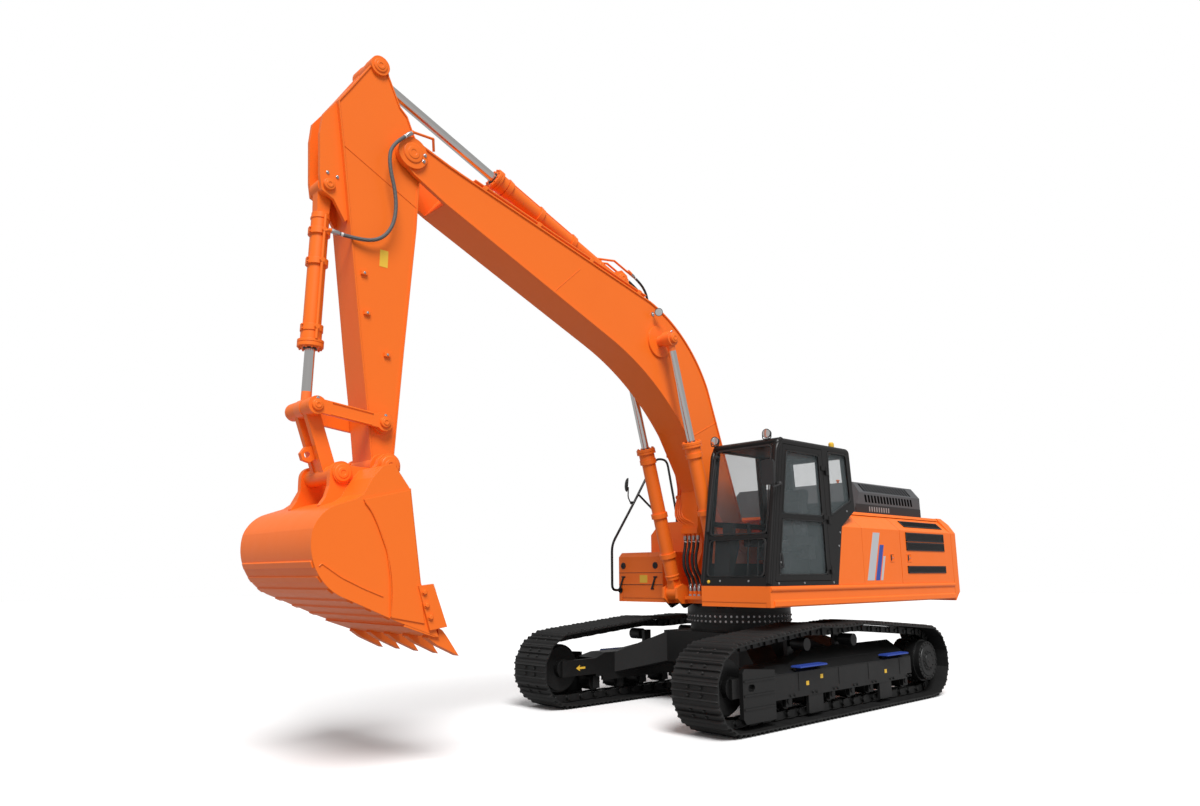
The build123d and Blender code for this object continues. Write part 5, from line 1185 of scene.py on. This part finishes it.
def undercarriage_trim():
    """Bolts of the slewing ring, rollers, final drives and guards; steps and small plates."""
    heads, shiny, steps, plates, bars = Piece(), Piece(), Piece(), Piece(), Piece()
    bolt_count, bolt_ring = 60, 0.660
    for level in (1.065, 1.005):
        for number in range(bolt_count):
            turn = 2 * pi * number / bolt_count
            out = Vector((cos(turn), sin(turn), 0))
            shiny.bolt(at(0, 0, level) + out * bolt_ring, out, 0.010, 0.010)
    shiny.done("slewing_ring_bolts", zinc, "undercarriage")
    for sign in (-1, 1):
        out = left * sign
        middle = sign * gauge / 2
        for number in range(8):
            x = 2.960 / 2 - 0.030 - number * 2.960 / 7
            for dx in (-0.038, 0.038):
                heads.bolt(at(x + dx, middle + sign * 0.190, 0.303), out, 0.013, 0.012)
            heads.turned(at(x, middle + sign * 0.140, 0.240), out,
                         [(0, 0.034), (0.010, 0.032), (0.012, 0.020)], 20)
        # cover of the final drive
        hub = at(-1.990, sign * 1.527, axle_z)
        for count, ring, inward, size in ((22, 0.222, 0.012, 0.011), (12, 0.112, 0.0, 0.009)):
            for number in range(count):
                turn = 2 * pi * number / count
                heads.bolt(hub + Vector((cos(turn), 0, sin(turn))) * ring - out * inward, out, size, 0.010)
        heads.turned(hub - out * 0.012, out, [(0, 0.196), (0.008, 0.190), (0.008, 0.150)], 44)
        heads.turned(hub, out, [(0, 0.090), (0.010, 0.086), (0.012, 0.070), (0.012, 0.030), (0.016, 0.026)],
                     36)
        for x in (0.735, -1.110):
            steps.brick(at(x - 0.260, middle + sign * 0.160, 0.585),
                        at(x + 0.260, middle + sign * 0.285, 0.600))
            for number in range(12):
                strip = x - 0.242 + number * 0.044
                steps.brick(at(strip - 0.006, middle + sign * 0.165, 0.600),
                            at(strip + 0.006, middle + sign * 0.280, 0.606))
            for end in (-0.22, 0.22):
                heads.plate([at(x + end - 0.012, middle + sign * 0.150, 0.540),
                             at(x + end + 0.012, middle + sign * 0.150, 0.540),
                             at(x + end + 0.012, middle + sign * 0.270, 0.585),
                             at(x + end - 0.012, middle + sign * 0.150, 0.585)],
                            out * 0.004)
        for z in (0.250, 0.380, 0.520):
            bars.plate([at(1.410, sign * guard_face, z - 0.010), at(1.925, sign * guard_face, z - 0.010),
                        at(1.925, sign * guard_face, z + 0.010), at(1.410, sign * guard_face, z + 0.010)],
                       out * 0.010)
        for x in (-1.30, -0.55, 0.10, 0.90):
            bars.plate([at(x - 0.008, sign * frame_face, 0.340), at(x + 0.008, sign * frame_face, 0.340),
                        at(x + 0.008, sign * frame_face, 0.525), at(x - 0.008, sign * frame_face, 0.525)],
                       out * 0.005)
        bars.tube([at(-1.560, sign * 1.486, 0.533), at(1.480, sign * 1.486, 0.533)], 0.006, 8)
        for x, z in ((0.738, 0.405), (0.457, 0.455), (-0.948, 0.400)):
            plates.brick(at(x - 0.026, middle + sign * 0.1900, z - 0.022),
                         at(x + 0.026, middle + sign * 0.1915, z + 0.022))
    # a plain yellow arrow on the inner side of the right track's front
    shaft = [(-0.075, -0.012), (0.020, -0.012), (0.012, -0.036), (0.075, 0.0), (0.012, 0.036), (0.020, 0.012),
             (-0.075, 0.012)]
    plates.plate([at(1.760 + x, -gauge / 2 + 0.1905, 0.450 + z) for x, z in shaft], left * 0.002)
    bars.done("track_frame_bars", casting, "undercarriage", bevel=0.002)
    heads.done("undercarriage_bolts", casting, "undercarriage", angle=30)
    steps.done("step_pads", blue, "undercarriage", bevel=0.002)
    plates.done("undercarriage_plates", yellow, "undercarriage")


# --------------------------------------------------------------------- the seat
def swell(made, voxel, reach):
    """Fills a pad from inside as cloth, and keeps each point within a reach of where it was."""
    scene = bpy.context.scene
    trial = bpy.data.objects.new("trial", made.data.copy())
    scene.collection.objects.link(trial)
    grid = trial.modifiers.new("grid", "REMESH")
    grid.mode = "VOXEL"
    grid.voxel_size = voxel
    base = bpy.data.meshes.new_from_object(trial.evaluated_get(bpy.context.evaluated_depsgraph_get()))
    trial.modifiers.clear()
    trial.data = base
    start = [vertex.co.copy() for vertex in base.vertices]
    fabric = trial.modifiers.new("fabric", "CLOTH")
    fabric.settings.use_pressure = True
    fabric.settings.uniform_pressure_force = 4.0
    fabric.settings.effector_weights.gravity = 0.0
    for moment in range(1, 21):
        scene.frame_set(moment)
    full = bpy.data.meshes.new_from_object(trial.evaluated_get(bpy.context.evaluated_depsgraph_get()))
    scene.frame_set(1)
    for vertex, was in zip(full.vertices, start):
        move = vertex.co - was
        if move.length > reach:
            vertex.co = was + move * (reach / move.length)
    bpy.data.objects.remove(trial)
    full.materials.clear()
    full.materials.append(made.data.materials[0])
    full.polygons.foreach_set("use_smooth", [True] * len(full.polygons))
    made.data = full


def pad(name, node, centre, wide, long, thick, channels):
    """A cushion from half vectors across, along and through it: swollen, then sewn along channels."""
    outline = ((-1, -0.5), (-0.90, -1), (0.90, -1), (1, -0.5), (1, 0.5), (0.90, 1), (-0.90, 1), (-1, 0.5))
    piece = Piece()
    piece.skin([[centre + long * share + wide * x * shrink + thick * z * (shrink * 0.5 + 0.5) for x,
                 z in outline]
                for share, shrink in ((-1.0, 0.80), (-0.95, 0.93), (-0.80, 1.0), (0.80, 1.0), (0.95, 0.93),
                                      (1.0, 0.80))])
    made = piece.done(name, cloth, "upper", replaces=(node,))
    swell(made, 0.0065, 0.022)
    face = thick.normalized()
    sides = wide.normalized(), long.normalized()
    lines = [[centre + wide * x + long * y for x, y in channel] for channel in channels]
    for vertex in made.data.vertices:
        off = vertex.co - centre
        if off.dot(face) < thick.length * 0.3:
            continue
        depth = 0.0
        for one, other in lines:
            run = other - one
            share = min(max((vertex.co - one).dot(run) / run.length_squared, 0.0), 1.0)
            away = vertex.co - one - run * share
            away = hypot(away.dot(sides[0]), away.dot(sides[1]))
            depth = max(depth, 0.012 * 2.718 ** -((away / 0.012) ** 2))
        vertex.co -= face * depth
    soft = made.modifiers.new("soft", "SUBSURF")
    soft.levels = soft.render_levels = 1
    return made


def seat():
    """The driver's seat: a cushion and a back with side bolsters and sewn channels."""
    low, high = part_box("seat_cushion")
    middle, half = (low + high) / 2, (high - low) / 2
    bolsters = [((-0.62, -0.86), (-0.62, 0.86)), ((0.62, -0.86), (0.62, 0.86))]
    ribs = [((-0.58, y), (0.58, y)) for y in (-0.45, 0.0, 0.45)]
    pad("seat_pad", "seat_cushion", middle, left * (half.y - 0.016), front_axis * (half.x - 0.016),
        up_axis * (half.z - 0.014),
        bolsters + ribs)
    low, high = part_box("seat_back")
    middle, half = (low + high) / 2, (high - low) / 2
    rise = Vector((-0.070, 0, 0.660)).normalized()
    through = left.cross(rise)
    pad("seat_back_pad", "seat_back", middle, left * (half.y - 0.016), rise * 0.312, through * 0.044,
        bolsters + ribs)


# ------------------------------------------------------------------------ stage
def stage():
    """A plain pale floor, a white surround and soft studio lamps."""
    scene = bpy.context.scene
    scene.view_settings.view_transform = "Standard"
    floor = bpy.data.meshes.new("floor")
    reach = 60.0
    floor.from_pydata([(-reach, -reach, 0), (reach, -reach, 0), (reach, reach, 0), (-reach, reach, 0)], [],
                      [(0, 1, 2, 3)])
    ground = bpy.data.objects.new("floor", floor)
    scene.collection.objects.link(ground)
    plain = bpy.data.materials.new("floor")
    plain.use_nodes = True
    shader = plain.node_tree.nodes["Principled BSDF"]
    path = plain.node_tree.nodes.new("ShaderNodeLightPath")
    tone = plain.node_tree.nodes.new("ShaderNodeMix")
    tone.data_type = "RGBA"
    tone.inputs[6].default_value = (0.34, 0.34, 0.34, 1.0)
    tone.inputs[7].default_value = (0.95, 0.95, 0.95, 1.0)
    plain.node_tree.links.new(path.outputs["Is Camera Ray"], tone.inputs[0])
    plain.node_tree.links.new(tone.outputs[2], shader.inputs["Base Color"])
    shader.inputs["Roughness"].default_value = 0.9
    floor.materials.append(plain)
    world = bpy.data.worlds.new("surround")
    scene.world = world
    world.use_nodes = True
    tree = world.node_tree
    seen = tree.nodes.new("ShaderNodeLightPath")
    both = tree.nodes.new("ShaderNodeMath")
    both.operation = "MAXIMUM"
    tree.links.new(seen.outputs["Is Camera Ray"], both.inputs[0])
    tree.links.new(seen.outputs["Is Transmission Ray"], both.inputs[1])
    soft = tree.nodes["Background"]
    soft.inputs["Strength"].default_value = 0.42
    soft.inputs["Color"].default_value = (1, 1, 1, 1)
    bright = tree.nodes.new("ShaderNodeBackground")
    bright.inputs["Strength"].default_value = 1.0
    bright.inputs["Color"].default_value = (1, 1, 1, 1)
    either = tree.nodes.new("ShaderNodeMixShader")
    tree.links.new(both.outputs[0], either.inputs[0])
    tree.links.new(soft.outputs[0], either.inputs[1])
    tree.links.new(bright.outputs[0], either.inputs[2])
    tree.links.new(either.outputs[0], tree.nodes["World Output"].inputs["Surface"])
    key = bpy.data.lights.new("key", "SUN")
    key.energy = 3.5
    key.angle = radians(28)
    holder = bpy.data.objects.new("key", key)
    holder.rotation_euler = Vector((-0.36, -0.52, -0.78)).to_track_quat("-Z", "Y").to_euler()
    scene.collection.objects.link(holder)


dress(orange, "skirts", "left_front_panel", "left_front_door", "left_rear_door", "right_rear_door",
      "right_front_door",
      "top_deck", "fuel_tank", "front_box", "counterweight", "boom", "boom_lines", "lift_barrels",
      "crowd_barrel", "arm",
      "curl_barrel", "side_links", "bucket_link", "bucket", "bucket_teeth")
dress(turntable_paint(), "main_frame")
dress(grey, "hood")
dress(black, "cab_shell", "cab_door", "handrail")
dress(casting, "track_frame_left", "track_frame_right", "idlers", "sprockets", "rollers", "car_body",
      "engine_block")
dress(eyed_rod("lift_rod_steel", lift, 0.150), "lift_rods")
dress(eyed_rod("crowd_rod_steel", crowd, 0.165), "crowd_rod")
dress(eyed_rod("curl_rod_steel", curl, 0.150), "curl_rod")
dress(glass, "cab_glass", "door_glass")
dress(plastic, "seat_base", "console", "mirrors", "roof_lamps", "boom_lamp")
dress(cloth, "seat_cushion", "seat_back")

camera()
stage()
hoses()
tracks()
house_vents()
paddle_latches()
side_marks()
hood_grilles()
front_box_trim()
handrail()
mirrors()
cab_borders()
cab_outside()
boom_trim()
arm_trim()
linkage_trim()
lift_trim()
undercarriage_trim()
glands()
bucket_trim()
seat()
hose_tubes()
skirt_moulding()
